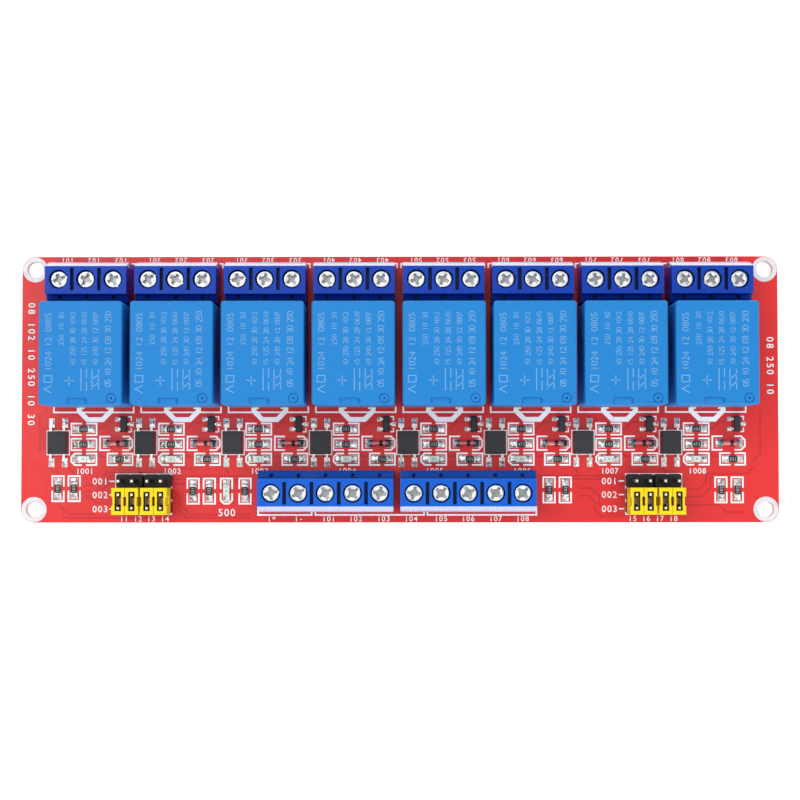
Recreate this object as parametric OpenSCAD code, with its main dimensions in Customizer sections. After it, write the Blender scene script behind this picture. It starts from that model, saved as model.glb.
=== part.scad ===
// Eight-channel relay module board with screw terminals and jumper-set trigger level.
// The origin is the centre of the four mounting holes, on the underside of the board.
// +X runs along the row of relays, +Y points to the output terminals and +Z is up.

/* [Board] */
// Length of the board beyond the outer relay channels
end_margin = 5.5; // [5:0.25:12]
// Width of the board beyond the wire side of the output terminals
out_margin = 1.65; // [1:0.05:4]
// Width of the board beyond the wire side of the input terminals
in_margin = 2.1; // [1.5:0.05:4]
// Thickness of the circuit board
board_t = 1.6; // [1:0.1:2.4]
// Corner radius of the circuit board
board_r = 2.5; // [1:0.25:4]
// Distance of the mounting holes from the edges of the board
hole_edge = 2.5; // [2.4:0.1:3]
// Diameter of the mounting holes
hole_d = 3.1; // [2.2:0.1:3.6]
// Diameter of the tinned ring around each mounting hole
ring_d = 4.8; // [4.2:0.1:4.9]
// Thickness of the tinned copper on the board
copper_t = 0.05; // [0.03:0.01:0.1]
// How far the soldered pins stand out under the board
pin_out = 2; // [1.5:0.1:3]
// Clearance around a pin in its plated hole
pin_clear = 0.15; // [0.1:0.05:0.25]

/* [Channels] */
// Number of relay channels
channels = 8; // [4:1:8]
// Gap between two relays
relay_gap = 1.35; // [1:0.05:2]
// Gap between two output terminals
out_side_gap = 1.51; // [1:0.01:2]
// Sideways place of the middle of the relay row
channels_x = -0.1; // [-0.5:0.1:0.5]

/* [Relays] */
// Width of a relay along the row
relay_w = 15.4; // [15:0.1:16]
// Length of a relay across the board
relay_l = 19.2; // [18.8:0.1:19.4]
// Height of a relay cover
relay_h = 15.1; // [14:0.1:18]
// Height of the feet under a relay base
relay_foot = 0.3; // [0.2:0.05:0.6]
// Radius of the cover's upright edges
cover_edge_r = 0.7; // [0.3:0.1:1.5]
// Radius of the cover's top edges
cover_top_r = 0.45; // [0.2:0.05:1]
// Wall of the cover around the base
cover_wall = 0.8; // [0.6:0.1:1.2]
// Thickness of the base plate
base_t = 2; // [1.5:0.1:3]
// Outer diameter of the ring groove around the vent in the cover
vent_d = 1.9; // [1.2:0.1:2.4]
// Width of the ring groove
vent_groove = 0.22; // [0.15:0.01:0.4]
// Diameter of the vent hole
vent_hole_d = 0.4; // [0.3:0.05:0.6]
// Distance of the vent from the right side of the cover
vent_in_x = 1.95; // [1.6:0.05:3]
// Distance of the vent from the front of the cover
vent_in_y = 1.24; // [1.2:0.02:2]
// Length of the moulding recess in the edge of the cover
gate_l = 3.6; // [2:0.1:5]
// Width of the moulding recess
gate_w = 1.07; // [0.5:0.01:1.5]
// Place of the recess to the left of the cover's middle
gate_left = 0.4; // [0:0.1:1]
// Depth of the groove and of the recess
cover_mark_depth = 0.25; // [0.1:0.05:0.4]
// Width and thickness of a relay pin
relay_pin = 0.9; // [0.6:0.1:1]
// Distance of the outer relay pins from the relay's sides
side_pin_in = 1.7; // [1.5:0.1:2]
// Distance of the common pin from the relay's front
common_in = 2.3; // [2:0.1:3]
// Distance of the coil pins from the relay's front
coil_in = 4.3; // [4:0.1:5]
// Distance of the contact pins from the relay's rear
contact_in = 2.7; // [2.2:0.1:3.5]
// Length of a foot under a relay base
foot_l = 1.6; // [1:0.1:2.5]
// Width of a foot under a relay base
foot_w = 1; // [0.6:0.1:1.5]
// Distance of the feet from the sides and ends of the base
foot_in = 0.2; // [0:0.1:1]

/* [Screw terminals] */
// Distance between the poles of a terminal block
pole_pitch = 5.08; // [5:0.01:5.1]
// Depth of a terminal block from rear to wire side
term_d = 7.85; // [7.7:0.05:8.1]
// Height of a terminal block
term_h = 10; // [9.5:0.1:12]
// Depth of the ledge at the rear
ledge_d = 1.5; // [1.2:0.05:1.7]
// Drop of the ledge below the top
ledge_drop = 1.5; // [1:0.1:2]
// Fall of the ledge towards the rear
ledge_fall = 1; // [0.3:0.1:1.5]
// Depth of the slope on the wire side
slope_d = 1.15; // [0.8:0.05:1.3]
// Drop of the slope on the wire side
slope_drop = 4.4; // [3:0.1:4.6]
// Distance of the screws from the rear
screw_in = 4.25; // [4.1:0.05:4.35]
// Diameter of a screw head
screw_d = 3.2; // [3:0.05:3.3]
// Height of a screw head
screw_h = 2; // [1.5:0.1:2.4]
// Diameter of the screw thread
thread_d = 2.5; // [2:0.1:2.6]
// Clearance around a screw head in its well
well_clear = 0.18; // [0.1:0.02:0.2]
// Depth of the screw head below the top of the block
screw_sunk = 0.7; // [0.4:0.1:1.2]
// Width of the driver slot in a screw
slot_w = 0.6; // [0.4:0.05:0.8]
// Depth of the driver slot
slot_depth = 0.55; // [0.4:0.05:1]
// Length over the arms of the cross recess
cross_l = 2.1; // [1.6:0.05:2.4]
// Depth of the cross recess
cross_depth = 0.95; // [0.6:0.05:1.2]
// Width of the slit between two poles
slit_w = 0.7; // [0.5:0.05:0.8]
// Length of the slit between two poles
slit_l = 4.2; // [3:0.1:4.4]
// Depth of the slit between two poles
slit_depth = 1.6; // [1:0.1:2.5]
// Diameter of a test hole in the ledge
test_d = 0.75; // [0.5:0.05:0.9]
// Depth of a test hole below the rear edge of the ledge
test_depth = 1; // [0.5:0.1:1.2]
// Distance of the test holes from the rear
test_in = 0.93; // [0.7:0.01:1.1]
// Width of a wire entry
entry_w = 3.5; // [3:0.1:3.6]
// Depth of the funnel at a wire entry
funnel_d = 0.5; // [0.3:0.05:0.8]
// Flare of the funnel to each side
funnel_flare = 0.35; // [0.2:0.05:0.5]
// Height of a wire entry above and below the free window
entry_over = 0.3; // [0:0.05:0.4]
// Width of a wire clamp
clamp_w = 3.8; // [3.7:0.05:3.9]
// Depth of a wire clamp along the wire
clamp_d = 3.6; // [3.2:0.1:3.8]
// Wall of a wire clamp
clamp_wall = 0.5; // [0.4:0.05:0.6]
// Height of the window in a wire clamp
window_h = 3.9; // [3.6:0.1:4]
// Height of a wire clamp above the board
clamp_z = 0.25; // [0.2:0.05:0.5]
// Gap between the contact bar and the top of the window
bar_drop = 0.5; // [0.3:0.05:0.8]
// Clearance around a clamp in its block
clamp_clear = 0.15; // [0.1:0.05:0.2]
// Thickness of the contact bar
bar_t = 1; // [0.8:0.1:1.1]
// Width of the contact bar
bar_w = 2.4; // [2:0.1:2.6]
// Rear wall of a terminal block
term_wall = 0.8; // [0.6:0.05:0.9]
// Gap between the rear wall and the pin of a contact bar
pin_gap = 0.1; // [0.05:0.01:0.2]

/* [Terminal places] */
// Poles of each output terminal
out_poles = 3; // [2:1:3]
// Poles of each input terminal
in_poles = 5; // [3:1:5]
// Gap between the relays and the output terminals
out_gap = 0.3; // [0.1:0.05:1]
// Width of the strip for small parts between the relays and the input terminals
parts_strip = 12.05; // [12:0.05:14]
// Middle of the input terminals along the board
in_x = -0.5; // [-2:0.1:2]
// Gap between the two input terminals
in_gap = 1.3; // [0.5:0.1:2]

/* [Jumper headers] */
// Pitch of the header pins
pin_pitch = 2.54; // [2.5:0.01:2.6]
// Width and thickness of a header pin
pin_w = 0.64; // [0.5:0.02:0.7]
// Height of the header pins above the board
pin_h = 8.5; // [8:0.1:9.5]
// Height of the header block
header_h = 2.5; // [2:0.1:3]
// Gap between the two blocks of a header
header_gap = 0.3; // [0.2:0.05:0.5]
// Depth of the notches between the cells of a block
notch = 0.35; // [0.2:0.05:0.45]
// Distance from the left end of the board to the middle of the left header
header_in_left = 23.75; // [22:0.05:25]
// Distance from the right end of the board to the middle of the right header
header_in_right = 24.15; // [22:0.05:25]
// Distance from the front edge of the board to the middle pin row
header_margin = 5.45; // [5:0.05:6]
// Gap between two jumper caps
cap_gap = 0.06; // [0.04:0.01:0.2]
// Height of a jumper cap above the header block
cap_lift = 0.04; // [0.02:0.01:0.2]
// Height of a jumper cap
cap_h = 6; // [5.5:0.1:6.4]
// Wall of a jumper cap
cap_wall = 0.42; // [0.3:0.02:0.5]
// Roof of a jumper cap
cap_roof = 0.8; // [0.5:0.1:1.2]
// Clearance around the clip in the slot of a cap
clip_clear = 0.06; // [0.03:0.01:0.1]
// Distance from the outer pins to the ends of the slot
slot_end = 0.21; // [0.15:0.01:0.3]
// Length of the finger groove in each side of a cap
grip_l = 1.7; // [1.2:0.1:2.2]
// Depth of the finger groove
grip_depth = 0.24; // [0.15:0.01:0.26]
// Height of the collar below the finger groove
grip_z = 2.1; // [1.5:0.1:3]
// Thickness of the contact clip in a cap
clip_t = 0.22; // [0.15:0.01:0.24]
// Height of the contact clip
clip_h = 4; // [3:0.1:4.5]
// Height of the clip above the lower edge of the cap
clip_lift = 0.3; // [0.1:0.1:0.6]
// Free length of a leaf between the bridge and each pin
clip_free = 0.3; // [0.2:0.05:0.4]
// Height of the bridge between the leaves
bridge_h = 3.2; // [2:0.1:3.6]

/* [Small parts] */
// Body length of a chip resistor or lamp
chip_l = 2; // [1.8:0.05:2.2]
// Body width of a chip resistor or lamp
chip_w = 1.25; // [1.1:0.05:1.4]
// Body height of a chip resistor
chip_h = 0.5; // [0.4:0.05:0.7]
// Length of a chip's metal ends
chip_end = 0.38; // [0.25:0.02:0.5]
// Thickness of the metal on a chip's ends
chip_plate = 0.04; // [0.03:0.01:0.08]
// Length of a solder pad beyond the end of its chip
pad_out = 1.075; // [0.9:0.025:1.2]
// Width of a solder pad beyond each side of its part
pad_side = 0.05; // [0.02:0.01:0.15]
// Height of a lamp with its lens
lens_h = 0.75; // [0.6:0.05:1]
// Height of a lamp's base plate
lamp_base_h = 0.3; // [0.2:0.05:0.4]
// Length of a glass diode
diode_l = 3.5; // [3.3:0.05:3.6]
// Diameter of a glass diode's metal ends
diode_d = 1.5; // [1.3:0.05:1.6]
// Length of a glass diode's metal ends
diode_end = 0.45; // [0.3:0.05:0.6]
// Width of an optocoupler body
opto_w = 3.8; // [3.6:0.1:4]
// Length of an optocoupler body between its rows of leads
opto_l = 4.4; // [4:0.1:4.6]
// Height of an optocoupler body
opto_h = 2; // [1.8:0.1:2.3]
// Length over a transistor's body along its row of leads
sot_l = 2.95; // [2.8:0.05:3.05]
// Width of a transistor's body
sot_w = 1.35; // [1.2:0.05:1.5]
// Height of a transistor's body
sot_h = 1; // [0.9:0.05:1.2]
// Length of a solder pad beyond the end of a glass diode
diode_pad_out = 0.85; // [0.6:0.05:1]
// Draft of the chip mouldings on each side
mould_draft = 0.2; // [0.1:0.02:0.3]
// Gap between a chip moulding and its pads
stand_off = 0.1; // [0.05:0.01:0.15]
// Thickness of the small leads
lead_t = 0.18; // [0.12:0.02:0.25]
// Width of the small leads
lead_w = 0.42; // [0.3:0.02:0.5]
// Reach of an optocoupler's leads from its body
opto_reach = 1.3; // [1:0.05:1.5]
// Distance between the two leads on each side of an optocoupler
opto_pitch = 2.54; // [2.5:0.01:2.6]
// Width of an optocoupler's solder pads
opto_pad_w = 1.05; // [0.8:0.05:1.3]
// Length of an optocoupler's solder pads beyond its leads
opto_pad_out = 1.15; // [0.5:0.05:1.3]
// Reach of a transistor's leads from its body
sot_reach = 0.6; // [0.5:0.05:0.7]
// Distance between a transistor's two outer leads
sot_pitch = 1.9; // [1.8:0.05:2]
// Width of a transistor's solder pads
sot_pad_w = 0.75; // [0.6:0.05:0.9]
// Length of a transistor's solder pads beyond its leads
sot_pad_out = 0.5; // [0.3:0.05:0.7]

/* [Small part places] */
// Middle of an optocoupler to the left of its relay's middle
opto_left = 6.7; // [6.5:0.05:7]
// Middle of an optocoupler in front of its relay
opto_row = 6.72; // [6.6:0.02:7]
// Middle of the chips and of the lamp to the left of the relay's middle
chip_left = 1.78; // [1.6:0.02:2]
// Middle of the first chip in front of its relay
chip_row_1 = 4.15; // [4:0.05:4.4]
// Middle of the second chip in front of its relay
chip_row_2 = 7.05; // [6.9:0.05:7.2]
// Middle of the lamp and of the third chip in front of its relay
lamp_row = 9.9; // [9.8:0.05:10]
// Middle of the third chip to the right of the relay's middle
chip_right = 5.15; // [5:0.05:5.3]
// Middle of a glass diode to the right of its relay's middle
diode_right = 4.5; // [4.4:0.05:4.7]
// Middle of a glass diode in front of its relay
diode_row = 6.85; // [6.7:0.05:7]
// Middle of a transistor to the right of its relay's middle
sot_right = 5.95; // [5.8:0.05:6.1]
// Middle of a transistor in front of its relay
sot_row = 3.2; // [3:0.05:3.3]
// Distance between two upright chips side by side
chip_step = 3.1; // [2.6:0.05:3.4]
// Distance from the left header to the chips on its left
left_chips = 13.58; // [12:0.02:15]
// Distance from the right header to the chips on its right
right_chips = 13.07; // [12:0.01:15]
// Distance from the left input terminal to the first chip
first_chip_in = 3.07; // [2.5:0.01:3.2]
// Distance from the left input terminal to the power lamp
power_lamp_in = 6.62; // [6:0.02:6.8]
// Distance from the left input terminal to the pair of chips
pair_in = 9.9; // [9.5:0.05:10.5]
// Distance from the right input terminal to the chips beside it
right_pair_in = 3.02; // [2.5:0.02:4]
// Upright chips on the left behind the middle pin row
chip_back_left = 1.05; // [0:0.05:1.5]
// Upright chips beside the input terminal behind the middle pin row
chip_back_mid = 0.55; // [0:0.05:1.5]
// Upright chips on the right behind the middle pin row
chip_back_right = 0.75; // [0:0.05:1.5]

/* [Hidden] */

cut = 0.05;      // overrun of a cutting tool past a face
round_fn = 48;   // faces of a plain round

function block_w(poles) = poles * pole_pitch;
function pole_x(poles, k) = (k - (poles + 1) / 2) * pole_pitch;

// Relays and output terminals share one pitch, and the rows set the size of the board.
channel_pitch = max(relay_w + relay_gap, block_w(out_poles) + out_side_gap);
board_l = channels * channel_pitch + 2 * end_margin;
board_w = in_margin + term_d + parts_strip + relay_l + out_gap + term_d + out_margin;
in_y = in_margin + term_d - board_w / 2;
relay_front = in_y + parts_strip;
relay_y = relay_front + relay_l / 2;
out_y = relay_front + relay_l + out_gap;
hole_span_x = board_l - 2 * hole_edge;
hole_span_y = board_w - 2 * hole_edge;

header_left_x = header_in_left - board_l / 2;
header_right_x = board_l / 2 - header_in_right;
header_y = header_margin - board_w / 2;
in_left_x = in_x - block_w(in_poles) - in_gap / 2;
in_right_x = in_x + block_w(in_poles) + in_gap / 2;

// Places of the small parts of one channel, sideways from the middle of its relay.
opto_at = [-opto_left, relay_front - opto_row];
resistor_at = [
  [-chip_left, relay_front - chip_row_1], [-chip_left, relay_front - chip_row_2],
  [chip_right, relay_front - lamp_row]
];
channel_lamp_at = [-chip_left, relay_front - lamp_row];
diode_at = [diode_right, relay_front - diode_row];
sot_at = [sot_right, relay_front - sot_row];
// Places of the upright small parts beside the headers and the input terminals.
upright_resistor_at = [
  [header_left_x - left_chips - chip_step, header_y + chip_back_left],
  [header_left_x - left_chips, header_y + chip_back_left],
  [in_left_x - pair_in - chip_step, header_y + chip_back_mid],
  [in_left_x - pair_in, header_y + chip_back_mid],
  [in_left_x - first_chip_in, header_y + chip_back_mid],
  [in_right_x + right_pair_in, header_y + chip_back_right],
  [in_right_x + right_pair_in + chip_step, header_y + chip_back_right],
  [header_right_x + right_chips, header_y + chip_back_right],
  [header_right_x + right_chips + chip_step, header_y + chip_back_right]
];
power_lamp_at = [in_left_x - power_lamp_in, header_y + chip_back_mid];

// Turn of each screw head, as the driver left it.
output_turns = [20, 62, 118, 35, 150, 48, 12, 75, 40, 128, 30, 55];
input_turns = [11, 30, 120, 40, 78, 169, 48, 117, 55, 46];

function channel_x(i) = channels_x + (i - (channels + 1) / 2) * channel_pitch;
function in_block_x(i) = in_x + (i == 1 ? -1 : 1) * (block_w(in_poles) + in_gap) / 2;

// Relay pins, from the middle of the relay: common, the two coil ends and the two contacts.
relay_pin_x = relay_w / 2 - side_pin_in;
relay_pin_at = [
  [0, common_in - relay_l / 2],
  [-relay_pin_x, coil_in - relay_l / 2], [relay_pin_x, coil_in - relay_l / 2],
  [-relay_pin_x, relay_l / 2 - contact_in], [relay_pin_x, relay_l / 2 - contact_in]
];
cover_z = board_t + relay_foot;

// Heights inside a terminal block, from the board.
window_z = clamp_z + clamp_wall;
window_top = window_z + window_h;
clamp_top = window_top + 2 * clamp_wall;
bar_z = window_top - bar_t - bar_drop;
roof_z = clamp_top + clamp_clear;
seat_z = term_h - screw_sunk - screw_h;
pin_in = term_wall + bar_t / 2 + pin_gap;   // distance of the pin from the rear of the block

block_step = 2 * pin_pitch + header_gap;
function side(n) = n % 2 == 1 ? -1 : 1;
function header_x(b) = (b <= 2 ? header_left_x : header_right_x) + side(b) * block_step / 2;
function cap_x(c) = header_x(ceil(c / 2)) + side(c) * pin_pitch / 2;
cap_z = board_t + header_h + cap_lift;
cap_w = pin_pitch - cap_gap;
cap_l = 2 * pin_pitch - cap_gap / 2;
cap_slot_w = pin_w + 2 * (clip_t + clip_clear);
cap_slot_l = pin_pitch + pin_w + 2 * slot_end;

part_z = board_t + copper_t;   // height of the top of the tinned pads

// Rectangle with arcs at its corners, w by l, radius r.
function arc_points(x, y, r, from, n = 8) =
  [for (k = [0:n]) [x + r * cos(from + 90 * k / n), y + r * sin(from + 90 * k / n)]];
function round_rect(w, l, r) = concat(
  arc_points(w / 2 - r, l / 2 - r, r, 0), arc_points(r - w / 2, l / 2 - r, r, 90),
  arc_points(r - w / 2, r - l / 2, r, 180), arc_points(w / 2 - r, r - l / 2, r, 270)
);

module centred_box(w, l, h) {
  translate([-w / 2, -l / 2, 0]) cube([w, l, h]);
}

// Upright prism of an outline in the Y-Z plane, w wide and centred on X.
module side_prism(w, outline) {
  rotate([90, 0, 90]) translate([0, 0, -w / 2]) linear_extrude(w) polygon(outline);
}

// Outline of a moulding with drafted sides, l long where its leads come out and shorter
// above and below them.
function drafted(l, h) = [
  [mould_draft - l / 2, 0], [l / 2 - mould_draft, 0],
  [l / 2, (h - lead_t) / 2], [l / 2, (h + lead_t) / 2],
  [l / 2 - mould_draft, h], [mould_draft - l / 2, h],
  [-l / 2, (h + lead_t) / 2], [-l / 2, (h - lead_t) / 2]
];

module drafted_body(w, l, h) {
  intersection() {
    side_prism(w + 1, drafted(l, h));
    rotate(90) side_prism(l + 1, drafted(w, h));
  }
}

// Gull-wing lead along +Y, lead_w wide: it leaves the body at start, its middle at height
// z, and its foot ends at start + reach.
module gull_lead(start, reach, z) {
  knee = start + reach / 2;
  slant = lead_t / 2;
  side_prism(lead_w, [
    [start, z - lead_t / 2], [start, z + lead_t / 2], [knee, z + lead_t / 2], [knee + slant, lead_t],
    [start + reach, lead_t], [start + reach, 0], [knee - lead_t + slant, 0], [knee - lead_t, z - lead_t / 2]
  ]);
}

// Children at the places of one channel's list, in every channel.
module at_channels(places) {
  for (i = [1:channels]) for (p = places) translate([channel_x(i) + p.x, p.y, 0]) children();
}

module at_mounting_holes() {
  for (sx = [-1, 1]) for (sy = [-1, 1])
    translate([sx * hole_span_x / 2, sy * hole_span_y / 2, 0]) children();
}

module at_relay_pins() {
  for (i = [1:channels]) for (p = relay_pin_at)
    translate([channel_x(i) + p.x, relay_y + p.y, 0]) children();
}

// Poles of every output terminal, with +Y towards the wire side and Y = 0 at the rear.
module at_output_poles() {
  for (i = [1:channels]) for (k = [1:out_poles]) {
    $turn = output_turns[((i - 1) * out_poles + k - 1) % len(output_turns)];
    translate([channel_x(i) + pole_x(out_poles, k), out_y, 0]) children();
  }
}

module at_input_poles() {
  for (i = [1:2]) for (k = [1:in_poles]) {
    $turn = input_turns[((i - 1) * in_poles + k - 1) % len(input_turns)];
    translate([in_block_x(i) + pole_x(in_poles, k), in_y, 0]) rotate(180) children();
  }
}

module at_header_pins() {
  for (b = [1:4]) for (sx = [-1, 1]) for (row = [-1:1])
    translate([header_x(b) + sx * pin_pitch / 2, header_y + row * pin_pitch, 0]) children();
}

// Places of all chips that lie on two pads: along X in the channels, upright elsewhere.
module at_resistors() {
  at_channels(resistor_at) children();
  for (p = upright_resistor_at) translate([p.x, p.y, 0]) rotate(90) children();
}

module at_lamps() {
  at_channels([channel_lamp_at]) children();
  translate([power_lamp_at.x, power_lamp_at.y, 0]) rotate(90) children();
}

module at_optos() { at_channels([opto_at]) children(); }
module at_diodes() { at_channels([diode_at]) children(); }
module at_transistors() { at_channels([sot_at]) children(); }

// Leads of every optocoupler and transistor, each drawn along +Y from the body's middle.
module at_opto_leads() {
  at_optos() for (turn = [0, 180]) rotate(turn) for (sx = [-1, 1])
    translate([sx * opto_pitch / 2, 0, 0]) children();
}

module at_sot_leads() {
  at_transistors() {
    rotate(-90) children();
    for (sy = [-1, 1]) translate([0, sy * sot_pitch / 2, 0]) rotate(90) children();
  }
}

module through_hole(w) {
  translate([0, 0, -cut]) cylinder(d = w * sqrt(2) + 2 * pin_clear, h = board_t + 2 * cut, $fn = 24);
}

module circuit_board() {
  color("crimson") difference() {
    linear_extrude(board_t) polygon(round_rect(board_l, board_w, board_r));
    at_mounting_holes() translate([0, 0, -cut])
      cylinder(d = hole_d, h = board_t + 2 * cut, $fn = round_fn);
    at_relay_pins() through_hole(relay_pin);
    at_output_poles() translate([0, pin_in, 0]) through_hole(bar_t);
    at_input_poles() translate([0, pin_in, 0]) through_hole(bar_t);
    at_header_pins() through_hole(pin_w);
  }
}

module hole_rings() {
  color("silver") at_mounting_holes() for (z = [-copper_t, board_t]) translate([0, 0, z]) difference() {
    cylinder(d = ring_d, h = copper_t, $fn = round_fn);
    translate([0, 0, -cut]) cylinder(d = hole_d, h = copper_t + 2 * cut, $fn = round_fn);
  }
}

// Two pads side by side along X for a part l long and w wide, whose metal ends are end
// long. They reach out beyond it by out.
module pad_pair(l, w, end, out) {
  for (sx = [-1, 1]) translate([sx * (l + out - end) / 2, 0, board_t])
    centred_box(end + out, w + 2 * pad_side, copper_t);
}

// One pad w wide under the foot of a lead along +Y, and out beyond its end.
module lead_pad(w, start, reach, out) {
  translate([-w / 2, start + reach / 2, board_t]) cube([w, reach / 2 + out, copper_t]);
}

module solder_pads() {
  color("gainsboro") {
    at_resistors() pad_pair(chip_l, chip_w, chip_end, pad_out);
    at_lamps() pad_pair(chip_l, chip_w, chip_end, pad_out);
    at_diodes() pad_pair(diode_l, diode_d, diode_end, diode_pad_out);
    at_opto_leads() lead_pad(opto_pad_w, opto_l / 2, opto_reach, opto_pad_out);
    at_sot_leads() lead_pad(sot_pad_w, sot_w / 2, sot_reach, sot_pad_out);
  }
}

// Solder around one square pin of width w: it fills the plated hole and swells under the board.
module solder_joint(w) {
  hole = w * sqrt(2) + 2 * pin_clear;
  fillet_h = pin_out * 0.6;
  difference() {
    union() {
      cylinder(d = hole, h = board_t, $fn = 24);
      translate([0, 0, -fillet_h]) cylinder(d1 = w * sqrt(2) + 0.15, d2 = hole + 0.8, h = fillet_h, $fn = 24);
    }
    translate([0, 0, -pin_out]) centred_box(w, w, board_t + 2 * pin_out);
  }
}

module solder_joints() {
  color("lightgray") {
    at_relay_pins() solder_joint(relay_pin);
    at_output_poles() translate([0, pin_in, 0]) solder_joint(bar_t);
    at_input_poles() translate([0, pin_in, 0]) solder_joint(bar_t);
    at_header_pins() solder_joint(pin_w);
  }
}

// Outline w wide and h high with rounded top corners, on the ground line.
function round_top(w, h, r) = concat(
  [[-w / 2, 0], [w / 2, 0]],
  arc_points(w / 2 - r, h - r, r, 0, 4), arc_points(r - w / 2, h - r, r, 90, 4)
);

// Relay cover: a moulded case with rounded edges, a vent in a ring groove and a recess
// that runs out at the front edge.
module relay_cover(i) {
  color("royalblue") translate([channel_x(i), relay_y, cover_z]) difference() {
    intersection() {
      linear_extrude(relay_h + 1) polygon(round_rect(relay_w, relay_l, cover_edge_r));
      side_prism(relay_w + 1, round_top(relay_l, relay_h, cover_top_r));
      rotate(90) side_prism(relay_l + 1, round_top(relay_w, relay_h, cover_top_r));
    }
    translate([0, 0, -cut]) centred_box(relay_w - 2 * cover_wall, relay_l - 2 * cover_wall, base_t + cut);
    translate([relay_w / 2 - vent_in_x, vent_in_y - relay_l / 2, relay_h - cover_mark_depth]) {
      difference() {
        cylinder(d = vent_d, h = 1, $fn = 32);
        translate([0, 0, -cut]) cylinder(d = vent_d - 2 * vent_groove, h = 2, $fn = 32);
      }
      translate([0, 0, -cover_mark_depth]) cylinder(d = vent_hole_d, h = 2, $fn = 16);
    }
    translate([-gate_left - gate_l / 2, -relay_l / 2 - cut, relay_h - cover_mark_depth])
      cube([gate_l, gate_w + cut, 1]);
  }
}

// Base plates that close the covers, with feet on the board and a hole for each pin.
module relay_bases() {
  w = relay_w - 2 * cover_wall;
  l = relay_l - 2 * cover_wall;
  foot_x = (w - foot_l) / 2 - relay_pin - foot_in;
  foot_y = (l - foot_w) / 2 - foot_in;
  color("midnightblue") for (i = [1:channels]) translate([channel_x(i), relay_y, cover_z]) difference() {
    union() {
      centred_box(w, l, base_t);
      for (sx = [-1, 1]) for (sy = [-1, 1])
        translate([sx * foot_x, sy * foot_y, -relay_foot]) centred_box(foot_l, foot_w, relay_foot + cut);
    }
    for (p = relay_pin_at) translate([p.x, p.y, -cut]) centred_box(relay_pin, relay_pin, base_t + 2 * cut);
  }
}

module relay_pins() {
  color("silver") at_relay_pins() translate([0, 0, -pin_out])
    centred_box(relay_pin, relay_pin, pin_out + cover_z + base_t);
}

// Mouth of a wire entry: a funnel in the front wall, cut by two wedges.
module wire_entry() {
  inner = screw_in + clamp_d / 2 + clamp_clear - cut;
  outer = term_d + cut;
  neck = term_d - funnel_d;
  low = window_z - entry_over;
  high = bar_z + entry_over;
  half = entry_w / 2;
  wide = half + funnel_flare;
  intersection() {
    side_prism(2 * wide + 1, [
      [inner, low], [neck, low], [outer, low - funnel_flare],
      [outer, high + funnel_flare], [neck, high], [inner, high]
    ]);
    linear_extrude(term_h) polygon([
      [-half, inner], [half, inner], [half, neck], [wide, outer], [-wide, outer], [-half, neck]
    ]);
  }
}

// Moulded terminal block: sloped wire side, stepped rear, and for each pole a clamp shaft,
// a wire entry, a screw well with its seat and a test hole.
module terminal_block(poles) {
  w = block_w(poles);
  shaft_end = screw_in + clamp_d / 2 + clamp_clear;
  difference() {
    side_prism(w, [
      [0, 0], [term_d, 0], [term_d, term_h - slope_drop], [term_d - slope_d, term_h],
      [ledge_d, term_h], [ledge_d, term_h - ledge_drop], [0, term_h - ledge_drop - ledge_fall]
    ]);
    for (k = [1:poles]) translate([pole_x(poles, k), 0, 0]) {
      translate([0, (term_wall + shaft_end) / 2, -cut])
        centred_box(clamp_w + 2 * clamp_clear, shaft_end - term_wall, roof_z + cut);
      wire_entry();
      translate([0, screw_in, 0]) {
        cylinder(d = thread_d + 2 * well_clear, h = term_h, $fn = 32);
        translate([0, 0, seat_z]) cylinder(d = screw_d + 2 * well_clear, h = term_h, $fn = 40);
      }
      translate([0, test_in, term_h - ledge_drop - ledge_fall - test_depth])
        cylinder(d = test_d, h = term_h, $fn = 20);
    }
    for (k = [1:poles - 1]) translate([pole_x(poles, k) + pole_pitch / 2, screw_in, term_h - slit_depth])
      centred_box(slit_w, slit_l, term_h);
  }
}

module output_terminal(i) {
  color("mediumblue") translate([channel_x(i), out_y, board_t]) terminal_block(out_poles);
}

module input_terminal(i) {
  color("dodgerblue") translate([in_block_x(i), in_y, board_t]) rotate(180) terminal_block(in_poles);
}

// Clamp screw, turned as the driver left it: its head has a slot across and a deeper cross
// recess, and sits in the well. Its thread runs down to the contact bar.
module clamp_screw() {
  head_z = seat_z + screw_h;
  translate([0, screw_in, 0]) rotate($turn) difference() {
    union() {
      translate([0, 0, seat_z]) cylinder(d = screw_d, h = screw_h, $fn = 40);
      translate([0, 0, bar_z + bar_t]) cylinder(d = thread_d, h = seat_z - bar_z - bar_t + cut, $fn = 32);
    }
    translate([0, 0, head_z - slot_depth]) centred_box(screw_d + 1, slot_w, slot_depth + cut);
    for (turn = [0, 90]) translate([0, 0, head_z - cross_depth]) rotate(turn)
      centred_box(cross_l, slot_w, cross_depth + cut);
  }
}

// Rising clamp: a square sleeve open along the wire, with the threaded hole in its thick top.
module wire_clamp() {
  translate([0, screw_in, 0]) difference() {
    translate([0, 0, clamp_z]) centred_box(clamp_w, clamp_d, clamp_top - clamp_z);
    translate([0, 0, window_z]) centred_box(clamp_w - 2 * clamp_wall, clamp_d + 1, window_h);
    translate([0, 0, window_top - cut]) cylinder(d = thread_d, h = 2 * clamp_wall + 2 * cut, $fn = 32);
  }
}

// Contact bar through the clamp, bent down at the rear into the pin.
module terminal_pin() {
  translate([-bar_w / 2, pin_in - bar_t / 2, bar_z])
    cube([bar_w, screw_in + clamp_d / 2 - pin_in + bar_t / 2, bar_t]);
  translate([0, pin_in, -board_t - pin_out]) centred_box(bar_t, bar_t, board_t + pin_out + bar_z + cut);
}

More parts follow.
